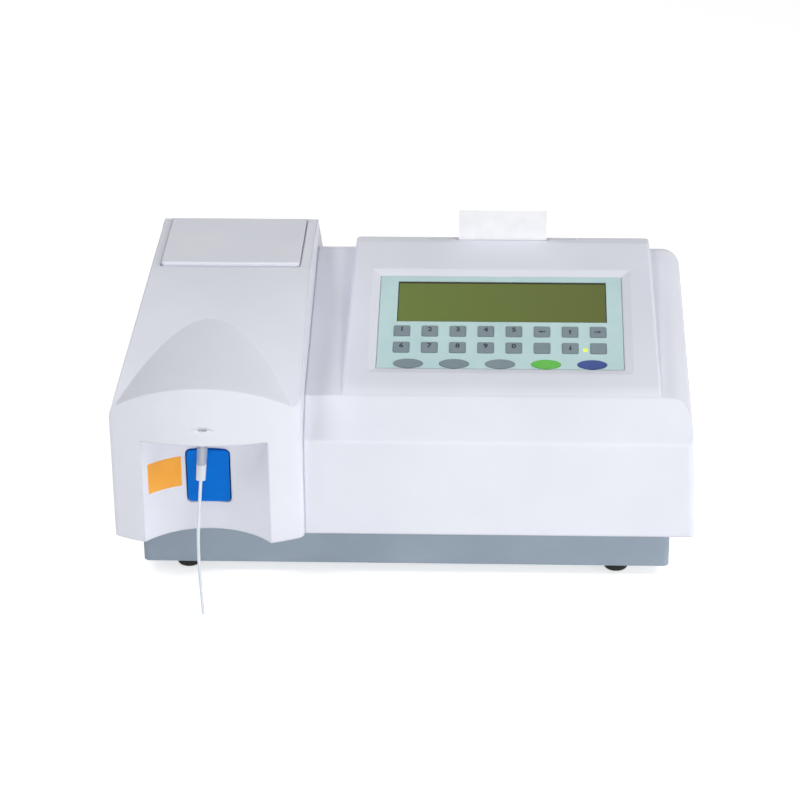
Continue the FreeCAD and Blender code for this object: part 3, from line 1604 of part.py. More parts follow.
# Printer

platen_y = paper_y + paper_thick / 2 + platen_gap + platen_radius
bucket_y = (roll_y - bucket_front_room, roll_y + bucket_back_room)


def side_plate_outline():
    head = (paper_y - head_plate_front, paper_y + head_plate_back)
    return [(bucket_y[0], bucket_low_z), (bucket_y[1], bucket_low_z), (bucket_y[1], bucket_back_z),
            (roll_y + bucket_shoulder, bucket_shoulder_z), (head[1], head_plate_top_z),
            (head[0], head_plate_top_z), (head[0], head_plate_low_z), (bucket_y[0], bucket_chin_z)]


def printer_frame():
    outer = paper_width / 2 + bucket_side_room + bucket_wall
    left, right = panel_x - outer, panel_x + outer
    outline = side_plate_outline()
    shapes = [prism_x(outline, (left, left + bucket_wall)), prism_x(outline, (right - bucket_wall, right))]
    low_y, back_y = bucket_y
    shapes.append(box((left, right), bucket_y, (bucket_low_z, bucket_low_z + bucket_wall)))
    shapes.append(box((left, right), (back_y - bucket_wall, back_y), (bucket_low_z, bucket_back_z)))
    shapes.append(box((left, right), (low_y, low_y + bucket_wall), (bucket_low_z, bucket_front_z)))
    shapes.append(rod((left, roll_y, roll_z), (1, 0, 0), spindle_radius, right - left))
    head_back = paper_y - paper_thick / 2
    shapes.append(box((left, right), (head_back - head_thick, head_back), (head_low_z, head_high_z)))
    left_hanger, right_hanger = hanger_spots()
    for arm in ((left_hanger[0], left + bucket_wall), (right - bucket_wall, right_hanger[1])):
        shapes.append(box(arm, (hanger_front_y, hanger_back_y), (hanger_z - hanger_thick, hanger_z)))
    bore = rod((left - overrun, platen_y, platen_z), (1, 0, 0), platen_shaft_radius + hinge_play,
               right - left + 2 * overrun)
    return fused(shapes).cut(bore)


def platen_roller():
    half = paper_width / 2
    outer = half + bucket_side_room + bucket_wall
    roller = rod((panel_x - half, platen_y, platen_z), (1, 0, 0), platen_radius, paper_width)
    shaft = rod((panel_x - outer, platen_y, platen_z), (1, 0, 0), platen_shaft_radius, 2 * outer)
    return fused([roller, shaft])


def paper_roll():
    half = paper_width / 2
    roll = rod((panel_x - half, roll_y, roll_z), (1, 0, 0), roll_radius, paper_width)
    return roll.cut(rod((panel_x - half - overrun, roll_y, roll_z), (1, 0, 0), spindle_radius + hinge_play,
                        paper_width + 2 * overrun))


def paper_strip():
    top = ridge_z(0.0)
    y0, y1 = paper_y - paper_thick / 2, paper_y + paper_thick / 2
    outline = [(y0, paper_low_z), (y0, top), (y0 + paper_lean, top + paper_stand),
               (y1 + paper_lean, top + paper_stand), (y1, top), (y1, paper_low_z)]
    half = paper_width / 2
    return prism_x(outline, (panel_x - half, panel_x + half))


def printer_cover():
    top = ridge_z(0.0)
    slant = math.cos(math.radians(rear_slope))
    drop = cover_thick / slant
    axis_z = cover_axis_z()
    end_y = cover_axis_y
    end_z = top - (end_y - deck_back_y) * tan_of(rear_slope)
    knee = deck_back_y - (drop - cover_thick) / tan_of(rear_slope)
    outline = [(cover_front_y, top), (deck_back_y, top), (end_y, end_z), (end_y, end_z - drop),
               (knee, top - cover_thick), (cover_front_y, top - cover_thick)]
    half = printer_cover_width / 2
    x = (panel_x - half, panel_x + half)
    plate = prism_x(outline, x)
    barrel = rod((x[0], cover_axis_y, axis_z), (1, 0, 0), cover_thick / 2, printer_cover_width)
    # The far end stops square to the slope at the hinge's middle, where a half-round end takes over
    beyond = box((x[0] - overrun, x[1] + overrun), (0.0, depth), (-depth, depth))
    beyond = moved(turned(beyond, (0, 0, 0), (1, 0, 0), -rear_slope), 0.0, cover_axis_y, axis_z)
    reach = half + cover_pin_reach
    pin = rod((panel_x - reach, cover_axis_y, axis_z), (1, 0, 0), cover_pin_radius, 2 * reach)
    return fused([plate.cut(beyond), barrel, pin])


makers = (base_pan, rubber_feet, case_screws, cell_lid, aspirate_key, aspirate_switch, probe_fitting,
          probe_sleeve, aspiration_tube, membrane_keypad, display_module, optical_bench, flow_cell_block,
          flow_cell, filter_wheel, interference_filters, filter_motor, lamp_housing, photodetector,
          pump_head, pump_rotor, pump_rollers, pump_tubing, main_board, power_supply, rear_panel,
          mains_inlet, power_rocker, fan_frame, fan_rotor, data_port, waste_outlet, printer_frame,
          platen_roller, paper_roll, paper_strip, printer_cover)
for make in makers:
    save(make.__name__, make())
save_keys()
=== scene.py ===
# %% [markdown]
# # A benchtop chemistry analyzer
# The instrument is built in CAD as an assembly of moulded housings, a sheet-metal pan, keys, a lid,
# a strip printer and the optics inside. This lesson loads those solids as a fixed frame and gives
# each one the finish that the real piece has. A few thin things are modelled here: the tube that
# draws the sample, the printing on the keys, a small lamp, a label and the foam in two joints.

# %% Load the CAD frame
import math

import bmesh
import bpy
from mathutils import Matrix, Vector


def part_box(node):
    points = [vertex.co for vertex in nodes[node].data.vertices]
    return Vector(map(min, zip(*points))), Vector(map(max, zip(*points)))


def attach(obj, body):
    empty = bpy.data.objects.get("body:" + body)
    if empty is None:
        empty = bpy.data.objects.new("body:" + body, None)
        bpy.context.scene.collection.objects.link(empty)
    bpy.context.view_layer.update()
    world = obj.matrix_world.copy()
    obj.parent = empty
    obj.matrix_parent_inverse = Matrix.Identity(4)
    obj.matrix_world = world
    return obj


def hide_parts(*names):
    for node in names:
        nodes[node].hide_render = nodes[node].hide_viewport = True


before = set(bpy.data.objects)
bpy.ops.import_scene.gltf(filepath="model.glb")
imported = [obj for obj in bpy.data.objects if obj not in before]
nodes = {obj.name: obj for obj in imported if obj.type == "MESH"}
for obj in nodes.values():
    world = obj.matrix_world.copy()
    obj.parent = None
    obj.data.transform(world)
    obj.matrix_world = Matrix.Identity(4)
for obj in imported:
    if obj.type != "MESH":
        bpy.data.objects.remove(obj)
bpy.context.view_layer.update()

MM = 0.001
scene = bpy.context.scene
print("loaded", len(nodes), "CAD nodes")

# %% [markdown]
# ## The camera
# The photograph was taken from above and a touch to the right, with a long lens from about 1.9 m.
# A Track To constraint could aim the camera, but it would hold the roll level. So the camera is aimed
# by its forward direction: the level right and up directions follow from it, and a small roll turns
# both. The sensor has its usual width of 36 mm, so the lens length sets how much is seen.

# %% Camera at the photograph's viewing angle
CAMERA_PLACE = Vector((62.2, -1641.8, 897.5)) * MM
CAMERA_YAW = math.radians(-2.399)
CAMERA_PITCH = math.radians(26.626)
CAMERA_ROLL = math.radians(-0.555)
SENSOR_WIDTH = 36.0
LENS_LENGTH = 126.63


def aim_camera():
    """Places the camera and gives the direction that it looks in."""
    forward = Vector((math.sin(CAMERA_YAW) * math.cos(CAMERA_PITCH),
                      math.cos(CAMERA_YAW) * math.cos(CAMERA_PITCH), -math.sin(CAMERA_PITCH)))
    level_right = Vector((math.cos(CAMERA_YAW), -math.sin(CAMERA_YAW), 0.0))
    level_up = level_right.cross(forward)
    right = level_right * math.cos(CAMERA_ROLL) + level_up * math.sin(CAMERA_ROLL)
    up = level_up * math.cos(CAMERA_ROLL) - level_right * math.sin(CAMERA_ROLL)
    data = bpy.data.cameras.new("photo_camera")
    data.sensor_width = SENSOR_WIDTH
    data.lens = LENS_LENGTH
    camera = bpy.data.objects.new("photo_camera", data)
    scene.collection.objects.link(camera)
    turn = Matrix((right, up, -forward)).transposed().to_4x4()
    camera.matrix_world = Matrix.Translation(CAMERA_PLACE) @ turn
    scene.camera = camera
    return forward


print("camera looks along", [round(x, 3) for x in aim_camera()])

# %% [markdown]
# ## The aspiration tube
# A thin white fluoropolymer tube comes out of the clear sleeve under the brow and hangs forward in a
# slight bend. A mesh tube would need rings placed by hand, but the tube is stiff for its size, so one
# smooth NURBS curve with few points draws it. The points are the corners of the route, and the curve
# stays just inside them. A curve's box grows by the radius of its points, so the points carry the
# tube's radius, and a bevel of one metre is scaled down by each point's radius.

# %% Tube from the sleeve down to the sample
TUBE_DIAMETER = 2.0 * MM
TUBE_ROUTE = [(-124.186, -122.020, 84.240), (-125.464, -124.855, 66.510),
              (-126.500, -141.500, 38.000), (-122.400, -158.000, 4.000)]
TUBE_STEPS = 24
TUBE_SIDE_STEPS = 5


def make_tube():
    data = bpy.data.curves.new("aspiration_tube_line", "CURVE")
    data.dimensions = "3D"
    spline = data.splines.new("NURBS")
    spline.points.add(len(TUBE_ROUTE) - 1)
    for point, place in zip(spline.points, TUBE_ROUTE):
        point.co = (*(Vector(place) * MM), 1.0)
        point.radius = TUBE_DIAMETER / 2
    spline.order_u = 3
    spline.use_endpoint_u = True
    spline.resolution_u = TUBE_STEPS
    data.bevel_depth = 1.0
    data.bevel_resolution = TUBE_SIDE_STEPS
    data.use_fill_caps = True
    line = bpy.data.objects.new("aspiration_tube_line", data)
    scene.collection.objects.link(line)
    return line


tube = make_tube()
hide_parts("aspiration_tube")
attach(tube, "case")

# %% [markdown]
# ## Helpers for finishes
# Colours are written as sRGB hex values, as a paint chart gives them, and one function turns them to
# the linear values that shaders use. Nodes could be made and linked one by one, but that takes many
# lines, so one function adds a node with its settings and its inputs, as values or other sockets.

# %% Colour and node helpers
SRGB_KNEE = 0.04045
SRGB_SLOPE = 12.92
SRGB_OFFSET = 0.055
SRGB_POWER = 2.4
HEX_TOP = 255


def light_of(share):
    """One sRGB channel, from 0 to 1, as linear light."""
    if share <= SRGB_KNEE:
        return share / SRGB_SLOPE
    return ((share + SRGB_OFFSET) / (1 + SRGB_OFFSET)) ** SRGB_POWER


def linear(hex_value):
    """An sRGB hex value as linear red, green and blue, fully opaque."""
    return (*(light_of(int(hex_value[i:i + 2], 16) / HEX_TOP) for i in (1, 3, 5)), 1.0)


def input_of(node, key):
    """A node's input by its name, with _ for a space, or by its number after a leading _."""
    if key.startswith("_"):
        return node.inputs[int(key[1:])]
    return node.inputs[key.replace("_", " ")]


def add(tree, kind, settings=None, **links):
    """Adds a node. Settings are its properties; links are inputs, each with a value or a socket."""
    node = tree.nodes.new(kind)
    for key, value in (settings or {}).items():
        setattr(node, key, value)
    for key, value in links.items():
        if isinstance(value, bpy.types.NodeSocket):
            tree.links.new(value, input_of(node, key))
        else:
            input_of(node, key).default_value = value
    return node


print("mid grey is", round(linear("#808080")[0], 3), "in linear light")

# %% [markdown]
# ## Building a finish
# A finish on the real object is never one flat colour: it has a fine relief, and its colour drifts a
# little from place to place. Painted textures would need a UV map on every CAD mesh, so both come
# from noise in space. It reads Object coordinates, which are metres here because every piece sits at
# the origin, so a pattern's scale is worked out from a real size in millimetres. One helper starts a
# material, one adds the relief, one the drift, and the last dresses CAD nodes in the result.

# %% Material helpers
EVEN = (1.0, 1.0, 1.0)
GRAIN_DETAIL = 2.0
GRAIN_ROUGHNESS = 0.6
EDGE_SAMPLES = 6
DRIFT_DETAIL = 3.0
DRIFT_ROUGHNESS = 0.55
DRIFT_LOW = 0.35
DRIFT_HIGH = 0.65


def start_material(name, colour, roughness, metallic=0.0, ior=None, gloss=0.5):
    """A material with one surface shader, given back with its node tree and that shader."""
    material = bpy.data.materials.new(name)
    material.use_nodes = True
    tree = material.node_tree
    tree.nodes.clear()
    shader = add(tree, "ShaderNodeBsdfPrincipled", None, Base_Color=linear(colour), Roughness=roughness,
                 Metallic=metallic)
    if ior is not None:
        shader.inputs["IOR"].default_value = ior
    shader.inputs["Specular IOR Level"].default_value = gloss
    add(tree, "ShaderNodeOutputMaterial", None, Surface=shader.outputs["BSDF"])
    return material, tree, shader


def pattern_place(tree, stretch=EVEN):
    """Where a pattern is read, squeezed along an axis whose share is more than 1."""
    where = add(tree, "ShaderNodeTexCoord")
    return add(tree, "ShaderNodeMapping", None, Vector=where.outputs["Object"], Scale=stretch)


def per_metre(size_mm):
    """Pattern scale for a feature of this size in millimetres."""
    return 1.0 / (size_mm * MM)


def add_grain(tree, shader, size_mm, height_mm, detail=GRAIN_DETAIL, stretch=EVEN, edge_mm=None):
    """Fine relief: a noise of this size drives a bump of this height, over softened edges if given."""
    place = pattern_place(tree, stretch)
    noise = add(tree, "ShaderNodeTexNoise", None, Vector=place.outputs["Vector"], Scale=per_metre(size_mm),
                Detail=detail, Roughness=GRAIN_ROUGHNESS)
    bump = add(tree, "ShaderNodeBump", None, Strength=1.0, Distance=height_mm * MM,
               Height=noise.outputs["Fac"])
    if edge_mm is not None:
        edge = add(tree, "ShaderNodeBevel", {"samples": EDGE_SAMPLES}, Radius=edge_mm * MM)
        tree.links.new(edge.outputs["Normal"], bump.inputs["Normal"])
    tree.links.new(bump.outputs["Normal"], shader.inputs["Normal"])


def vary_colour(tree, shader, colours, size_mm):
    """Slow drift between two close colours, from a noise of this size."""
    place = pattern_place(tree)
    noise = add(tree, "ShaderNodeTexNoise", None, Vector=place.outputs["Vector"], Scale=per_metre(size_mm),
                Detail=DRIFT_DETAIL, Roughness=DRIFT_ROUGHNESS)
    ramp = add(tree, "ShaderNodeValToRGB", None, Fac=noise.outputs["Fac"])
    for element, ramp_place, colour in zip(ramp.color_ramp.elements, (DRIFT_LOW, DRIFT_HIGH), colours):
        element.position = ramp_place
        element.color = linear(colour)
    tree.links.new(ramp.outputs["Color"], shader.inputs["Base Color"])


def dress(material, *names):
    """Puts the material in every slot of these CAD nodes."""
    for name in names:
        for slot in nodes[name].material_slots:
            slot.material = material
    print(material.name, "on", len(names), "nodes")


print("a grain of 0.5 mm has a pattern scale of", round(per_metre(0.5)))

# %% [markdown]
# ## Housings: painted polyurethane
# Housings of instruments made in small numbers are moulded in structural polyurethane foam and
# sprayed with a fine-textured two-part paint. It gives a soft satin surface with a grain of about
# half a millimetre and a slightly blue white. A displaced mesh could carry the grain, but a bump is
# enough at this size. Real grain is too fine for the render, so it is drawn at 0.9 mm. Handling
# leaves some places a little glossier, and the Bevel node softens each edge as thick paint does.

# %% Painted housing finish
GLOSS_DETAIL = 4.0


def vary_roughness(tree, shader, low, high, size_mm):
    """Drifts the roughness between two values, from a noise of this size."""
    place = pattern_place(tree)
    noise = add(tree, "ShaderNodeTexNoise", None, Vector=place.outputs["Vector"], Scale=per_metre(size_mm),
                Detail=GLOSS_DETAIL, Roughness=GRAIN_ROUGHNESS)
    spread = add(tree, "ShaderNodeMapRange", None, Value=noise.outputs["Fac"], To_Min=low, To_Max=high)
    tree.links.new(spread.outputs["Result"], shader.inputs["Roughness"])


def painted_housing():
    material, tree, shader = start_material("Textured polyurethane paint", "#E5E7F0", roughness=0.46,
                                            ior=1.50)
    vary_colour(tree, shader, ("#E2E4EE", "#E8EAF3"), size_mm=90.0)
    add_grain(tree, shader, size_mm=0.9, height_mm=0.03, detail=3.0, edge_mm=1.6)
    vary_roughness(tree, shader, low=0.42, high=0.52, size_mm=35.0)
    return material


HOUSING = painted_housing()
dress(HOUSING, "main_housing", "module_housing", "cell_lid", "printer_cover")

# %% [markdown]
# ## Base pan and rear panel: powder-coated steel
# The pan under the housings and the panel at the back are folded or cut from steel sheet and powder
# coated, one in blue-grey and one in light grey. Powder melts into a skin with a shallow orange peel,
# about 2 mm across, that breaks up its reflections. The peel is a soft bump with little detail,
# because its hollows are all of one size.

# %% Powder-coat finish
def powder_coat(name, colours, roughness):
    material, tree, shader = start_material(name, colours[0], roughness, ior=1.52)
    vary_colour(tree, shader, colours, size_mm=60.0)
    add_grain(tree, shader, size_mm=2.0, height_mm=0.06, detail=1.0)
    return material


PAN_COAT = powder_coat("Blue-grey powder-coated steel", ("#909EAC", "#99A7B5"), roughness=0.5)
PANEL_COAT = powder_coat("Light grey powder-coated steel", ("#C6C9D0", "#CED1D8"), roughness=0.45)
dress(PAN_COAT, "base_pan")
dress(PANEL_COAT, "rear_panel")

# %% [markdown]
# ## Rubber, black plastics and paper
# Feet and the platen are moulded rubber: very dark and rough, with no clear highlight. Black ABS is
# darker than it looks and gets its form from broad soft highlights. Thermal paper is smooth and cool
# white, with very faint fibres. All three could be flat colours at this size, but a flat colour reads
# as a drawing, so one function gives each of them its own grain and a slow drift of colour.

# %% Rubber, ABS and paper finishes
def even_finish(name, colours, roughness, grain_mm, height_mm, ior=1.5):
    """A stuff that is coloured through: a slow drift of colour under a fine relief."""
    material, tree, shader = start_material(name, colours[0], roughness, ior=ior)
    vary_colour(tree, shader, colours, size_mm=12.0)
    add_grain(tree, shader, size_mm=grain_mm, height_mm=height_mm)
    return material


RUBBER = even_finish("Black nitrile rubber", ("#0C0C0D", "#161617"), roughness=0.8, grain_mm=1.2,
                     height_mm=0.03, ior=1.52)
BLACK_ABS = even_finish("Black ABS", ("#111213", "#17181A"), roughness=0.42, grain_mm=0.7, height_mm=0.02,
                        ior=1.54)
PAPER = even_finish("Thermal paper", ("#EDEDF1", "#F3F3F6"), roughness=0.55, grain_mm=0.6, height_mm=0.006,
                    ior=1.45)
dress(RUBBER, "rubber_feet", "platen_roller")
dress(BLACK_ABS, "aspirate_switch", "photodetector", "mains_inlet", "power_rocker", "fan_frame",
      "fan_rotor", "printer_frame")
dress(PAPER, "paper_roll", "paper_strip")

# %% [markdown]
# ## The keypad overlay
# The keypad is a membrane: a printed polyester sheet over domes and a circuit. The ink is on the back
# of a matt film, so its colour looks even and slightly deep, with a soft sheen. Keys are embossed
# areas of the same film in other inks. One sheet with a painted pattern would do for a distant view,
# but here each key is a solid, so the inks are separate materials of one kind.

# %% Printed film finishes
def printed_film(name, colour, drift, roughness=0.38):
    material, tree, shader = start_material(name, colour, roughness, ior=1.57, gloss=0.3)
    vary_colour(tree, shader, (colour, drift), size_mm=25.0)
    add_grain(tree, shader, size_mm=0.5, height_mm=0.008)
    return material


def family(prefix):
    return sorted(name for name in nodes if name.startswith(prefix))


OVERLAY = printed_film("Teal printed polyester film", "#C1DEDF", drift="#C8E4E4")
GREY_KEY = printed_film("Grey printed polyester film", "#7D8E95", drift="#83949A")
GREEN_KEY = printed_film("Green printed polyester film", "#63BC4A", drift="#6AC452")
VIOLET_KEY = printed_film("Violet printed polyester film", "#3B4F92", drift="#42569A")
dress(OVERLAY, "membrane_keypad")
dress(GREY_KEY, *family("key_row"), "oval_key_1", "oval_key_2", "oval_key_3")
dress(GREEN_KEY, "oval_key_4")
dress(VIOLET_KEY, "oval_key_5")

# %% [markdown]
# ## The display
# A reflective liquid-crystal display is an olive-green glass. The polariser film on it drifts from a
# greener tone on one side to a browner one on the other. Behind it the dots lie on a very fine grid
# of about half a millimetre. Modelled dots would be lost in the render, so a Brick texture draws the
# grid, at just under a millimetre so that it shows. With a scale of one per millimetre, the sizes of
# its bricks and joints are in millimetres too.

# %% Liquid-crystal glass
DISPLAY_WIDTH = 133.0 * MM
DISPLAY_HEIGHT = 39.0 * MM
DISPLAY_MIDDLE_X = 59.45 * MM
BRICKS_IN_MM = per_metre(1.0)


def lcd_glass():
    material, tree, shader = start_material("Reflective LCD glass", "#66762A", roughness=0.22, ior=1.52,
                                            gloss=0.35)
    place = pattern_place(tree)
    left = DISPLAY_MIDDLE_X - DISPLAY_WIDTH / 2
    across = add(tree, "ShaderNodeSeparateXYZ", None, Vector=place.outputs["Vector"])
    drift = add(tree, "ShaderNodeMapRange", None, Value=across.outputs["X"], From_Min=left,
                From_Max=left + DISPLAY_WIDTH)
    tone = add(tree, "ShaderNodeMix", {"data_type": "RGBA"}, _0=drift.outputs["Result"],
               _6=linear("#6A7F2C"), _7=linear("#616C20"))
    dots = add(tree, "ShaderNodeTexBrick", {"offset": 0.0}, Vector=place.outputs["Vector"],
               Color1=linear("#FFFFFF"), Color2=linear("#FAFAFA"), Mortar=linear("#EDEDED"),
               Scale=BRICKS_IN_MM, Mortar_Size=0.08, Brick_Width=0.9, Row_Height=0.9)
    seen = add(tree, "ShaderNodeMix", {"data_type": "RGBA", "blend_type": "MULTIPLY"}, _0=1.0,
               _6=tone.outputs[2], _7=dots.outputs["Color"])
    tree.links.new(seen.outputs[2], shader.inputs["Base Color"])
    return material


LCD = lcd_glass()
dress(LCD, "display_module")

# %% [markdown]
# ## The blue aspirate key
# The big key behind the probe is moulded in blue ABS, dyed through. Its face is smooth, so its colour
# is deep and even, with only a faint sheen. A coat layer would give it a hard mirror highlight that
# the real key doesn't have, so it stays one plain layer with low gloss and shallow waves.

# %% Blue moulded key
def blue_abs():
    material, tree, shader = start_material("Smooth blue ABS", "#0074DC", roughness=0.35, ior=1.54,
                                            gloss=0.08)
    vary_colour(tree, shader, ("#0070D6", "#0078E0"), size_mm=20.0)
    add_grain(tree, shader, size_mm=3.0, height_mm=0.01)
    return material


BLUE_KEY = blue_abs()
dress(BLUE_KEY, "aspirate_key")

# %% [markdown]
# ## Metals
# Turned stainless steel shows fine rings across its axis, and milled aluminium has short parallel
# marks: both are one noise, squeezed along one axis. Zinc plating is even, soft and a little blue.
# These keep the shader's default index of refraction, because a metal's colour comes from its base
# colour. Black anodising keeps the mill's marks under a dark, slightly rough oxide, so it is only
# partly metallic.

# %% Metal finishes
def marked_metal(name, colours, roughness, stretch, mark_mm, height_mm, metallic=1.0):
    material, tree, shader = start_material(name, colours[0], roughness, metallic=metallic)
    vary_colour(tree, shader, colours, size_mm=8.0)
    add_grain(tree, shader, size_mm=mark_mm, height_mm=height_mm, stretch=stretch)
    return material


STEEL = marked_metal("Turned stainless steel", ("#A4A8AD", "#B4B8BC"), roughness=0.28,
                     stretch=(1.0, 1.0, 6.0), mark_mm=0.8, height_mm=0.006)
ZINC = marked_metal("Zinc-plated steel", ("#B2B6BA", "#C2C5C8"), roughness=0.36, stretch=EVEN, mark_mm=1.6,
                    height_mm=0.01)
MILLED = marked_metal("Milled aluminium", ("#B8BABF", "#C6C8CC"), roughness=0.34, stretch=(6.0, 1.0, 1.0),
                      mark_mm=1.0, height_mm=0.008)
ANODISED = marked_metal("Black anodised aluminium", ("#17181A", "#202124"), roughness=0.42,
                        stretch=(4.0, 1.0, 1.0), mark_mm=0.8, height_mm=0.006, metallic=0.7)
dress(STEEL, "probe_fitting")
dress(ZINC, "case_screws", "filter_motor", "data_port", "power_supply")
dress(MILLED, "optical_bench")
dress(ANODISED, "flow_cell_block", "filter_wheel", "lamp_housing")

# %% [markdown]
# ## Clear plastics and glass
# The sleeve is soft clear PVC. Above, it is a thin film that one looks straight through; below, a
# drop of glue round the tube clouds it. Real transmission would hold back the lamps' light and turn
# the inside grey, so the sleeve is a surface with an alpha that changes at the top of the glue. The
# flow cell is fused quartz, colourless and sharp. The filters are coated glass with a violet cast.
# These two lie deep inside, so they can use real transmission.

# %% Transparent finishes
GLUE_TOP = 90.0 * MM
GLUE_FADE = 1.0 * MM
GLUE_ALPHA = 0.82
FILM_ALPHA = 0.32


def soft_sleeve():
    material, tree, shader = start_material("Clear soft PVC", "#E9EEF4", roughness=0.2, ior=1.5)
    place = pattern_place(tree)
    height = add(tree, "ShaderNodeSeparateXYZ", None, Vector=place.outputs["Vector"])
    cloud = add(tree, "ShaderNodeMapRange", None, Value=height.outputs["Z"], From_Min=GLUE_TOP - GLUE_FADE,
                From_Max=GLUE_TOP, To_Min=GLUE_ALPHA, To_Max=FILM_ALPHA)
    tree.links.new(cloud.outputs["Result"], shader.inputs["Alpha"])
    add_grain(tree, shader, size_mm=2.5, height_mm=0.012)
    return material


def clear(name, colour, roughness, ior, transmission):
    material, tree, shader = start_material(name, colour, roughness, ior=ior)
    shader.inputs["Transmission Weight"].default_value = transmission
    add_grain(tree, shader, size_mm=2.5, height_mm=0.012)
    return material


SLEEVE = soft_sleeve()
QUARTZ = clear("Fused quartz", "#EEF5F7", roughness=0.04, ior=1.458, transmission=0.95)
FILTER = clear("Coated filter glass", "#B48BD8", roughness=0.05, ior=1.52, transmission=0.8)
dress(SLEEVE, "probe_sleeve")
dress(QUARTZ, "flow_cell")
dress(FILTER, "interference_filters")

# %% [markdown]
# ## Milky and grey plastics
# The tube is a white fluoropolymer, waxy and slightly glossy. Silicone rubber is soft, warm and
# milky, and natural nylon is a harder cream. The pump's body is light grey ABS with a fine matt
# texture, and its rotor is dark grey acetal, which is slippery and so a little shinier. Light sinks
# into the milky ones, but at this thickness a pale colour with low contrast says the same.

# %% Milky and grey finishes
PTFE = even_finish("White fluoropolymer", ("#D8DFE9", "#E0E6EF"), roughness=0.35, grain_mm=1.5,
                   height_mm=0.006, ior=1.38)
SILICONE = even_finish("Translucent silicone rubber", ("#D9D5C8", "#E0DCD0"), roughness=0.5, grain_mm=1.2,
                       height_mm=0.01, ior=1.41)
NYLON = even_finish("Natural nylon", ("#DAD8CC", "#E2E0D5"), roughness=0.4, grain_mm=1.0, height_mm=0.01,
                    ior=1.53)
PUMP_BODY = even_finish("Light grey ABS", ("#C9CACC", "#D1D2D4"), roughness=0.38, grain_mm=0.8,
                        height_mm=0.015)
PUMP_ROTOR = even_finish("Dark grey acetal", ("#33363B", "#3B3E43"), roughness=0.32, grain_mm=0.8,
                         height_mm=0.01)
tube.data.materials.append(PTFE)
dress(SILICONE, "pump_tubing")
dress(NYLON, "waste_outlet", "pump_rollers")
dress(PUMP_BODY, "pump_head")
dress(PUMP_ROTOR, "pump_rotor")

# %% [markdown]
# ## The circuit board
# A board is glass-fibre laminate under a green solder mask. Copper tracks show through the mask as
# slightly raised, lighter lines. Tracks could be cut as solids, but nobody sees the board closely, so
# a Brick texture with long bricks gives lines on a regular grid, and a bump raises them.

# %% Solder mask with tracks
TRACK_RISE = 0.03 * MM


def circuit_board():
    material, tree, shader = start_material("Green solder mask on glass-fibre laminate", "#14532D",
                                            roughness=0.35, ior=1.55)
    place = pattern_place(tree)
    tracks = add(tree, "ShaderNodeTexBrick", {"offset": 0.37}, Vector=place.outputs["Vector"],
                 Color1=linear("#124E2A"), Color2=linear("#165A31"), Mortar=linear("#1F7A42"),
                 Scale=BRICKS_IN_MM, Mortar_Size=0.35, Brick_Width=9.0, Row_Height=3.0)
    tree.links.new(tracks.outputs["Color"], shader.inputs["Base Color"])
    bump = add(tree, "ShaderNodeBump", None, Strength=1.0, Distance=TRACK_RISE, Height=tracks.outputs["Fac"])
    tree.links.new(bump.outputs["Normal"], shader.inputs["Normal"])
    return material


dress(circuit_board(), "main_board")

# %% [markdown]
# ## Working on the sloping panel
# The keypad lies on a plane that leans back 16 degrees. Thin things on it could each be turned by
# hand, but it is simpler to draw them flat, in the panel's own directions, and to let one matrix take
# them to their place. The tilt, and the plane's height where it crosses Y = 0, are the CAD's own.
# The same matrix, turned round, finds the middle of each key.

# %% Panel directions
PANEL_TILT = math.radians(16.0)
PANEL_HEIGHT = 144.8 * MM
PANEL_MIDDLE = Vector((DISPLAY_MIDDLE_X, 0.0, PANEL_HEIGHT))
panel_place = Matrix.Translation(PANEL_MIDDLE) @ Matrix.Rotation(PANEL_TILT, 4, "X")


def corners_of(points):
    """Lowest and highest corner of the box round some points."""
    low = Vector([min(point[i] for point in points) for i in range(3)])
    high = Vector([max(point[i] for point in points) for i in range(3)])
    return low, high


def key_middle(name):
    """Middle of a key's top face in the panel's own directions."""
    back = panel_place.inverted()
    low, high = corners_of([back @ vertex.co for vertex in nodes[name].data.vertices])
    return Vector(((low.x + high.x) / 2, (low.y + high.y) / 2, high.z))


print("first key at", [round(x / MM, 2) for x in key_middle("key_row1_1")])

# %% [markdown]
# ## Finishing a piece
# Every new piece ends in the same way, however it is shaped: its bmesh becomes a mesh, the mesh gets
# one material and an object, and the object rides on a body of the frame, so that it moves with it.
# Printing also has to be put on its key. Two helpers do the first part and a third does the last.

# %% Helpers for new pieces
PRINT_RISE = 0.03 * MM


def finish_mesh(work, name):
    """Writes a bmesh to a new mesh and frees it."""
    mesh = bpy.data.meshes.new(name)
    work.to_mesh(mesh)
    work.free()
    return mesh


def finish_piece(name, mesh, material, body):
    """Gives a mesh its material and its object, which rides on a body of the frame."""
    mesh.materials.append(material)
    piece = bpy.data.objects.new(name, mesh)
    scene.collection.objects.link(piece)
    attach(piece, body)
    print(name, "has", len(mesh.polygons), "faces")


def place_on_key(mesh, key, rise=0.0):
    """Moves flat printing to the middle of a key's top, or this far above the middle."""
    middle = key_middle(key)
    mesh.transform(panel_place @ Matrix.Translation(middle + Vector((0.0, rise, PRINT_RISE))))


print("printing lies", round(PRINT_RISE / MM, 2), "mm above its key")

# %% [markdown]
# ## Digits on the keys
# Digits are printed on the keys in a dark ink, even and almost matt. An image could carry them, but
# text gives clean numerals from a font's own outlines. The text is made a mesh, and its seams are
# merged, because the font's faces and sides come apart. Each digit sits in the upper part of its key.

# %% Digits
DIGITS = "1234567890"
DIGITS_IN_ROW = 5
DIGIT_HEIGHT = 4.0 * MM
DIGIT_RISE = 1.6 * MM
DIGIT_BOLD = 0.18 * MM
FONT_SIZE_PER_HEIGHT = 1.37
OUTLINE_STEPS = 4
PRINT_THICK = 0.02 * MM
MERGE_REACH = 0.0001 * MM
DARK_INK = printed_film("Dark printing ink", "#1F2A30", drift="#26323A", roughness=0.45)


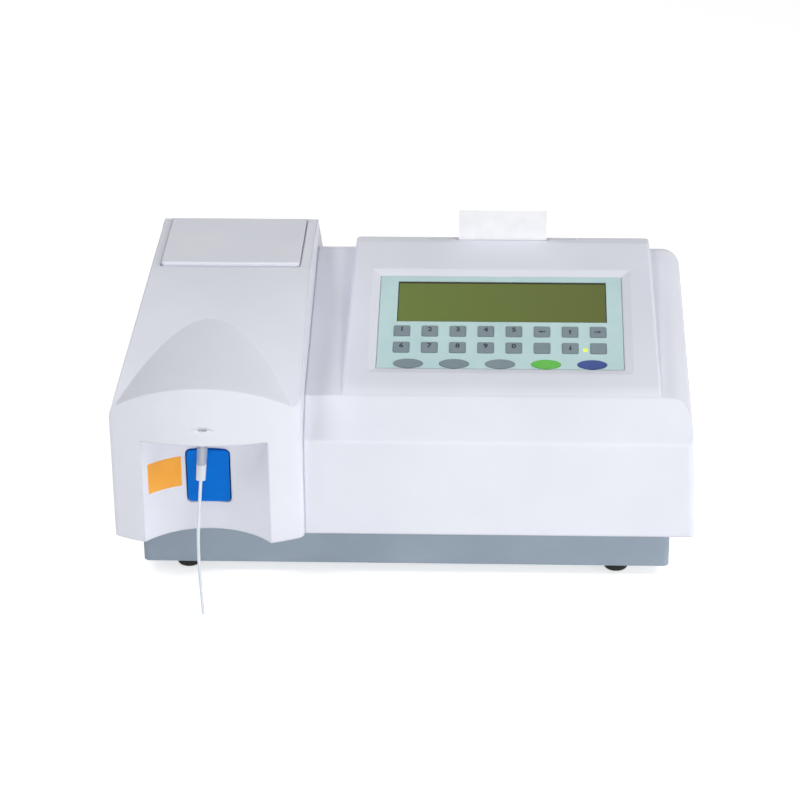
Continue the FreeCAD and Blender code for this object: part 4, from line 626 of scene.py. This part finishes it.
def digit_mesh(character):
    data = bpy.data.curves.new("digit", "FONT")
    data.body = character
    data.size = DIGIT_HEIGHT * FONT_SIZE_PER_HEIGHT
    data.offset = DIGIT_BOLD
    data.align_x = "CENTER"
    data.align_y = "CENTER"
    data.extrude = PRINT_THICK / 2
    data.resolution_u = OUTLINE_STEPS
    text = bpy.data.objects.new("digit", data)
    scene.collection.objects.link(text)
    bpy.context.view_layer.update()
    outlines = bpy.data.meshes.new_from_object(text)
    bpy.data.objects.remove(text)
    work = bmesh.new()
    work.from_mesh(outlines)
    bpy.data.meshes.remove(outlines)
    bmesh.ops.remove_doubles(work, verts=work.verts, dist=MERGE_REACH)
    low, high = corners_of([vertex.co for vertex in work.verts])
    bmesh.ops.translate(work, verts=work.verts, vec=-(low + high) / 2)
    return finish_mesh(work, "digit")


for count, character in enumerate(DIGITS):
    row, column = divmod(count, DIGITS_IN_ROW)
    key = f"key_row{row + 1}_{column + 1}"
    mesh = digit_mesh(character)
    place_on_key(mesh, key, DIGIT_RISE)
    finish_piece("print_" + key, mesh, DARK_INK, key)

# %% [markdown]
# ## Arrows
# Four keys carry a plain arrow. A font may have no arrows, so each is drawn as seven corners of one
# flat face, which an extrusion makes as thick as the digits. One arrow that points along X serves all
# four keys: it is turned to each key's own direction.

# %% Arrows
ARROW_DEGREES = {"key_row1_6": 180.0, "key_row1_7": 90.0, "key_row1_8": 0.0, "key_row2_7": -90.0}
ARROW_LENGTH = 4.6 * MM
ARROW_HEAD = 2.0 * MM
ARROW_WIDTH = 2.2 * MM
ARROW_SHAFT = 0.9 * MM


def thicken(work, depth):
    """Extrudes all faces straight up and turns the outside outwards."""
    lifted = bmesh.ops.extrude_face_region(work, geom=work.faces[:])
    top = [part for part in lifted["geom"] if isinstance(part, bmesh.types.BMVert)]
    bmesh.ops.translate(work, verts=top, vec=(0.0, 0.0, depth))
    bmesh.ops.recalc_face_normals(work, faces=work.faces)


def arrow_mesh(degrees):
    work = bmesh.new()
    half = ARROW_LENGTH / 2
    neck = half - ARROW_HEAD
    outline = [(-half, -ARROW_SHAFT / 2), (neck, -ARROW_SHAFT / 2), (neck, -ARROW_WIDTH / 2), (half, 0.0),
               (neck, ARROW_WIDTH / 2), (neck, ARROW_SHAFT / 2), (-half, ARROW_SHAFT / 2)]
    work.faces.new([work.verts.new((x, y, -PRINT_THICK / 2)) for x, y in outline])
    thicken(work, PRINT_THICK)
    bmesh.ops.rotate(work, verts=work.verts, matrix=Matrix.Rotation(math.radians(degrees), 3, "Z"))
    return finish_mesh(work, "arrow")


for key, degrees in ARROW_DEGREES.items():
    mesh = arrow_mesh(degrees)
    place_on_key(mesh, key)
    finish_piece("print_" + key, mesh, DARK_INK, key)

# %% [markdown]
# ## The display's gasket and its painted shade
# The glass sits in the keypad's window on a black open-celled foam gasket, which shows as a hairline
# at the sides. The dark band under the top edge is painted shade: there the back wall of the window's
# recess lies in shadow, so the gasket is drawn wider at the top to stand in for it. Four strips would
# leave corners to join, so the gasket is one flat face of the window's size: it is inset, the top of
# the inset is drawn down, the middle is taken out, and what is left gets its thickness.

# %% Foam gasket round the display, with painted shade along its top
UNIT_HALF = 0.5
# The top band is wider than the sides because it is painted shade, where the recess's back wall lies in
# shadow.
PAINTED_SHADE_TOP = 1.5 * MM
GASKET_SIDE = 0.35 * MM
GASKET_THICK = 0.12 * MM
GASKET_DEPTH = 0.30 * MM


def gasket_and_shade_mesh():
    work = bmesh.new()
    bmesh.ops.create_grid(work, x_segments=1, y_segments=1, size=UNIT_HALF)
    bmesh.ops.scale(work, verts=work.verts, vec=(DISPLAY_WIDTH, DISPLAY_HEIGHT, 1.0))
    bmesh.ops.inset_region(work, faces=work.faces[:], thickness=GASKET_SIDE, use_boundary=True)
    middle = min(work.faces, key=lambda face: face.calc_center_median().length)
    upper = [vertex for vertex in middle.verts if vertex.co.y > 0]
    # Drawing the inset's top down makes the band of painted shade under the display's top edge.
    bmesh.ops.translate(work, verts=upper, vec=(0.0, GASKET_SIDE - PAINTED_SHADE_TOP, 0.0))
    bmesh.ops.delete(work, geom=[middle], context="FACES_ONLY")
    bmesh.ops.solidify(work, geom=work.faces[:], thickness=GASKET_THICK)
    bmesh.ops.recalc_face_normals(work, faces=work.faces)
    mesh = finish_mesh(work, "display_gasket_and_shade")
    mesh.transform(panel_place @ Matrix.Translation((0.0, 0.0, -GASKET_DEPTH)))
    return mesh


# The dark foam colour is the gasket's own at the sides and painted shade along the top.
DARK_FOAM_AND_SHADE = even_finish("Black foam and painted shade", ("#26261E", "#2E2E24"), roughness=0.85, grain_mm=0.6,
                   height_mm=0.03)
finish_piece("display_gasket_and_shade", gasket_and_shade_mesh(), DARK_FOAM_AND_SHADE, "case")

# %% [markdown]
# ## The seal between the housings
# The module and the main block meet at a joint half a millimetre wide. In the photograph it is a pale
# line and not a dark gap, so a thin foam sheet is taken to lie in it. A plain box would stick out at
# the rounded corners, so the sheet has the outline of the block's own end wall, from a copy of that
# mesh: one plane cuts the outline, which is filled, drawn in a little, made thick and moved into the
# joint. Closed-cell foam is matt and even, close to the housings' own white.

# %% Foam sheet in the joint
WELD_REACH = 0.01 * MM
SEAL_CUT = 1.0 * MM
SEAL_INSET = 0.12 * MM
SEAL_THICK = 0.3 * MM
SEAL_GAP = 0.1 * MM


def joint_seal_mesh():
    wall_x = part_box("main_housing")[0][0]
    work = bmesh.new()
    work.from_mesh(nodes["main_housing"].data)
    bmesh.ops.remove_doubles(work, verts=work.verts, dist=WELD_REACH)
    cut = bmesh.ops.bisect_plane(work, geom=work.verts[:] + work.edges[:] + work.faces[:],
                                 plane_co=(wall_x + SEAL_CUT, 0.0, 0.0), plane_no=(1.0, 0.0, 0.0),
                                 clear_inner=True, clear_outer=True)
    outline = [part for part in cut["geom_cut"] if isinstance(part, bmesh.types.BMEdge)]
    sheet = bmesh.ops.edgeloop_fill(work, edges=outline)["faces"]
    print("seal outline of", len(outline), "edges and", len(sheet), "face")
    rim = bmesh.ops.inset_region(work, faces=sheet, thickness=SEAL_INSET, use_boundary=True,
                                 use_even_offset=True)
    bmesh.ops.delete(work, geom=rim["faces"], context="FACES")
    bmesh.ops.solidify(work, geom=work.faces[:], thickness=SEAL_THICK)
    bmesh.ops.recalc_face_normals(work, faces=work.faces)
    # Round a notched outline the recalculation can choose the inside, which a negative volume shows.
    if work.calc_volume(signed=True) < 0:
        bmesh.ops.reverse_faces(work, faces=work.faces)
    mesh = finish_mesh(work, "joint_seal")
    left = min(vertex.co.x for vertex in mesh.vertices)
    mesh.transform(Matrix.Translation((wall_x - SEAL_GAP - SEAL_THICK - left, 0.0, 0.0)))
    return mesh


SEAL_FOAM = even_finish("Pale grey polyethylene foam", ("#E2E4EC", "#E8EAF0"), roughness=0.8, grain_mm=0.8,
                        height_mm=0.02)
finish_piece("joint_seal", joint_seal_mesh(), SEAL_FOAM, "case")

# %% [markdown]
# ## A lamp on the keypad
# Between the last two keys of the second row a small indicator lamp is lit. It is a shallow dome of
# tinted resin, smooth and glossy. A lamp object would light its surroundings too, which a lamp as
# weak as this doesn't, so the dome itself glows a little by the shader's emission and keeps its
# yellow-green. The dome is a squashed sphere, cut off at the film and closed below.

# %% Keypad lamp
LAMP_PLACE = Vector((52.7, -46.1, 0.0)) * MM
LAMP_RADIUS = 1.5 * MM
LAMP_HEIGHT = 0.5 * MM
LAMP_SIDES = 24
LAMP_RINGS = 12
LAMP_GLOW = 0.55
QUAD_CORNERS = 4


def lamp_dome():
    work = bmesh.new()
    bmesh.ops.create_uvsphere(work, u_segments=LAMP_SIDES, v_segments=LAMP_RINGS, radius=LAMP_RADIUS)
    bmesh.ops.scale(work, verts=work.verts, vec=(1.0, 1.0, LAMP_HEIGHT / LAMP_RADIUS))
    cut = bmesh.ops.bisect_plane(work, geom=work.verts[:] + work.edges[:] + work.faces[:],
                                 plane_co=(0, 0, 0), plane_no=(0, 0, -1), clear_outer=True)
    rim = [part for part in cut["geom_cut"] if isinstance(part, bmesh.types.BMEdge)]
    bmesh.ops.edgeloop_fill(work, edges=rim)
    bmesh.ops.recalc_face_normals(work, faces=work.faces)
    # Only the flat underside has more corners than a quad, and it stays sharp.
    for face in work.faces:
        face.smooth = len(face.verts) <= QUAD_CORNERS
    mesh = finish_mesh(work, "keypad_lamp")
    mesh.transform(panel_place @ Matrix.Translation(LAMP_PLACE))
    return mesh


LAMP_RESIN = even_finish("Tinted epoxy resin", ("#B9D42A", "#C6DE38"), roughness=0.2, grain_mm=2.0,
                         height_mm=0.004, ior=1.53)
lamp_shader = LAMP_RESIN.node_tree.nodes["Principled BSDF"]
lamp_shader.inputs["Emission Color"].default_value = linear("#E4F23C")
lamp_shader.inputs["Emission Strength"].default_value = LAMP_GLOW
finish_piece("keypad_lamp", lamp_dome(), LAMP_RESIN, "case")

# %% [markdown]
# ## The amber label
# An amber label, a little wider than high, is stuck on the curved wall of the recess, left of the
# probe. It is vinyl film: strong and even in colour, with a soft satin shine. A flat label would cut
# into the wall, and a Shrinkwrap would need a clean wall to lie on, so a thin strip is laid out flat,
# cut into columns and wrapped round the wall's own radius.

# %% Label wrapped on the recess wall
RECESS_RADIUS = 50.8 * MM
RECESS_MIDDLE = Vector((-121.55, -156.2, 0.0)) * MM
LABEL_WIDTH = 23.0 * MM
LABEL_HEIGHT = 20.5 * MM
LABEL_THICK = 0.15 * MM
LABEL_ANGLE = math.radians(122.0)
LABEL_MIDDLE_Z = 77.5 * MM
LABEL_COLUMNS = 16


def on_recess_wall(flat):
    """A point of the flat label, wrapped round the wall: X becomes an angle and Z goes inwards."""
    angle = LABEL_ANGLE - flat.x / RECESS_RADIUS
    radius = RECESS_RADIUS - flat.z
    around = Vector((radius * math.cos(angle), radius * math.sin(angle), LABEL_MIDDLE_Z + flat.y))
    return RECESS_MIDDLE + around


def label_mesh():
    work = bmesh.new()
    bmesh.ops.create_grid(work, x_segments=LABEL_COLUMNS, y_segments=1, size=UNIT_HALF)
    bmesh.ops.scale(work, verts=work.verts, vec=(LABEL_WIDTH, LABEL_HEIGHT, 1.0))
    thicken(work, LABEL_THICK)
    for vertex in work.verts:
        vertex.co = on_recess_wall(vertex.co)
    return finish_mesh(work, "recess_label")


LABEL_VINYL = even_finish("Amber vinyl film", ("#FFAB30", "#FFB23A"), roughness=0.42, grain_mm=1.4,
                          height_mm=0.008)
finish_piece("recess_label", label_mesh(), LABEL_VINYL, "case")

# %% [markdown]
# ## Studio: floor and sky
# The photograph is a cut-out on white. A large floor of white paper carries the soft shadow. An
# ordinary white floor would come out grey, so wherever the camera, a glossy reflection or a clear
# piece looks past the object it sees plain white, through the Light Path node, while the light that
# falls on the object stays weak and even. The paper is fully matt, so it shows no highlight. The
# floor's half width is in metres.

# %% Floor and sky
FLOOR_HALF = 4.0
FLOOR_GLOW = 0.6
SKY_STRENGTH = 0.19
SEEN_WHITE = 1.0
WHITE = (1.0, 1.0, 1.0, 1.0)


def seen_share(tree):
    """1 where a camera, glossy or transmission ray looks, and 0 for light that falls on things."""
    path = add(tree, "ShaderNodeLightPath")
    first = add(tree, "ShaderNodeMath", {"operation": "MAXIMUM"}, _0=path.outputs["Is Camera Ray"],
                _1=path.outputs["Is Glossy Ray"])
    return add(tree, "ShaderNodeMath", {"operation": "MAXIMUM"}, _0=first.outputs["Value"],
               _1=path.outputs["Is Transmission Ray"])


def make_floor():
    work = bmesh.new()
    bmesh.ops.create_grid(work, x_segments=1, y_segments=1, size=FLOOR_HALF)
    mesh = finish_mesh(work, "floor")
    material, tree, shader = start_material("White paper sweep", "#FFFFFF", roughness=0.9, gloss=0.0)
    share = seen_share(tree)
    glow = add(tree, "ShaderNodeMath", {"operation": "MULTIPLY"}, _0=share.outputs["Value"], _1=FLOOR_GLOW)
    shader.inputs["Emission Color"].default_value = WHITE
    tree.links.new(glow.outputs["Value"], shader.inputs["Emission Strength"])
    mesh.materials.append(material)
    floor = bpy.data.objects.new("floor", mesh)
    scene.collection.objects.link(floor)
    print("floor is", round(floor.dimensions.x, 1), "m wide")


def make_sky():
    world = bpy.data.worlds.new("studio_sky")
    world.use_nodes = True
    tree = world.node_tree
    tree.nodes.clear()
    share = seen_share(tree)
    strength = add(tree, "ShaderNodeMapRange", None, Value=share.outputs["Value"], To_Min=SKY_STRENGTH,
                   To_Max=SEEN_WHITE)
    back = add(tree, "ShaderNodeBackground", None, Color=WHITE, Strength=strength.outputs["Result"])
    add(tree, "ShaderNodeOutputWorld", None, Surface=back.outputs["Background"])
    scene.world = world


make_floor()
make_sky()

# %% [markdown]
# ## Studio: lamps
# In the photograph the upright faces are brighter than the flat ones, and the sides that the two
# housings turn to each other are in soft shade. One lamp can't do both, so there are five round
# softboxes: a broad one low in front for the upright faces, one high at the left for the module's
# slopes, one low at the right for the block's shoulder, one nearer and higher for the console, and
# one behind for the back. The view transform is Standard, which keeps the written hex colours.

# %% Lamps
LAMPS_AIM = Vector((0.05, 0.0, 0.12))
# For each lamp: its place in metres, its disk's diameter in metres and its power in watts.
LAMPS = {"front_softbox": ((0.2, -2.1, 0.5), 1.2, 15.5),
         "left_softbox": ((-0.8, -0.5, 1.3), 0.6, 6.9),
         "right_softbox": ((1.6, -0.4, 0.22), 0.4, 5.6),
         "near_softbox": ((0.75, -0.35, 0.75), 0.4, 3.0),
         "back_softbox": ((-0.4, 2.0, 0.3), 0.8, 4.0)}


def make_lamp(name, place, size, power):
    data = bpy.data.lights.new(name, "AREA")
    data.shape = "DISK"
    data.size = size
    data.energy = power
    lamp = bpy.data.objects.new(name, data)
    scene.collection.objects.link(lamp)
    way = LAMPS_AIM - Vector(place)
    turn = way.to_track_quat("-Z", "Y").to_matrix().to_4x4()
    lamp.matrix_world = Matrix.Translation(Vector(place)) @ turn
    print(name, "at", round(way.length, 2), "m with", power, "W")


for name, (place, size, power) in LAMPS.items():
    make_lamp(name, place, size, power)
scene.view_settings.view_transform = "Standard"
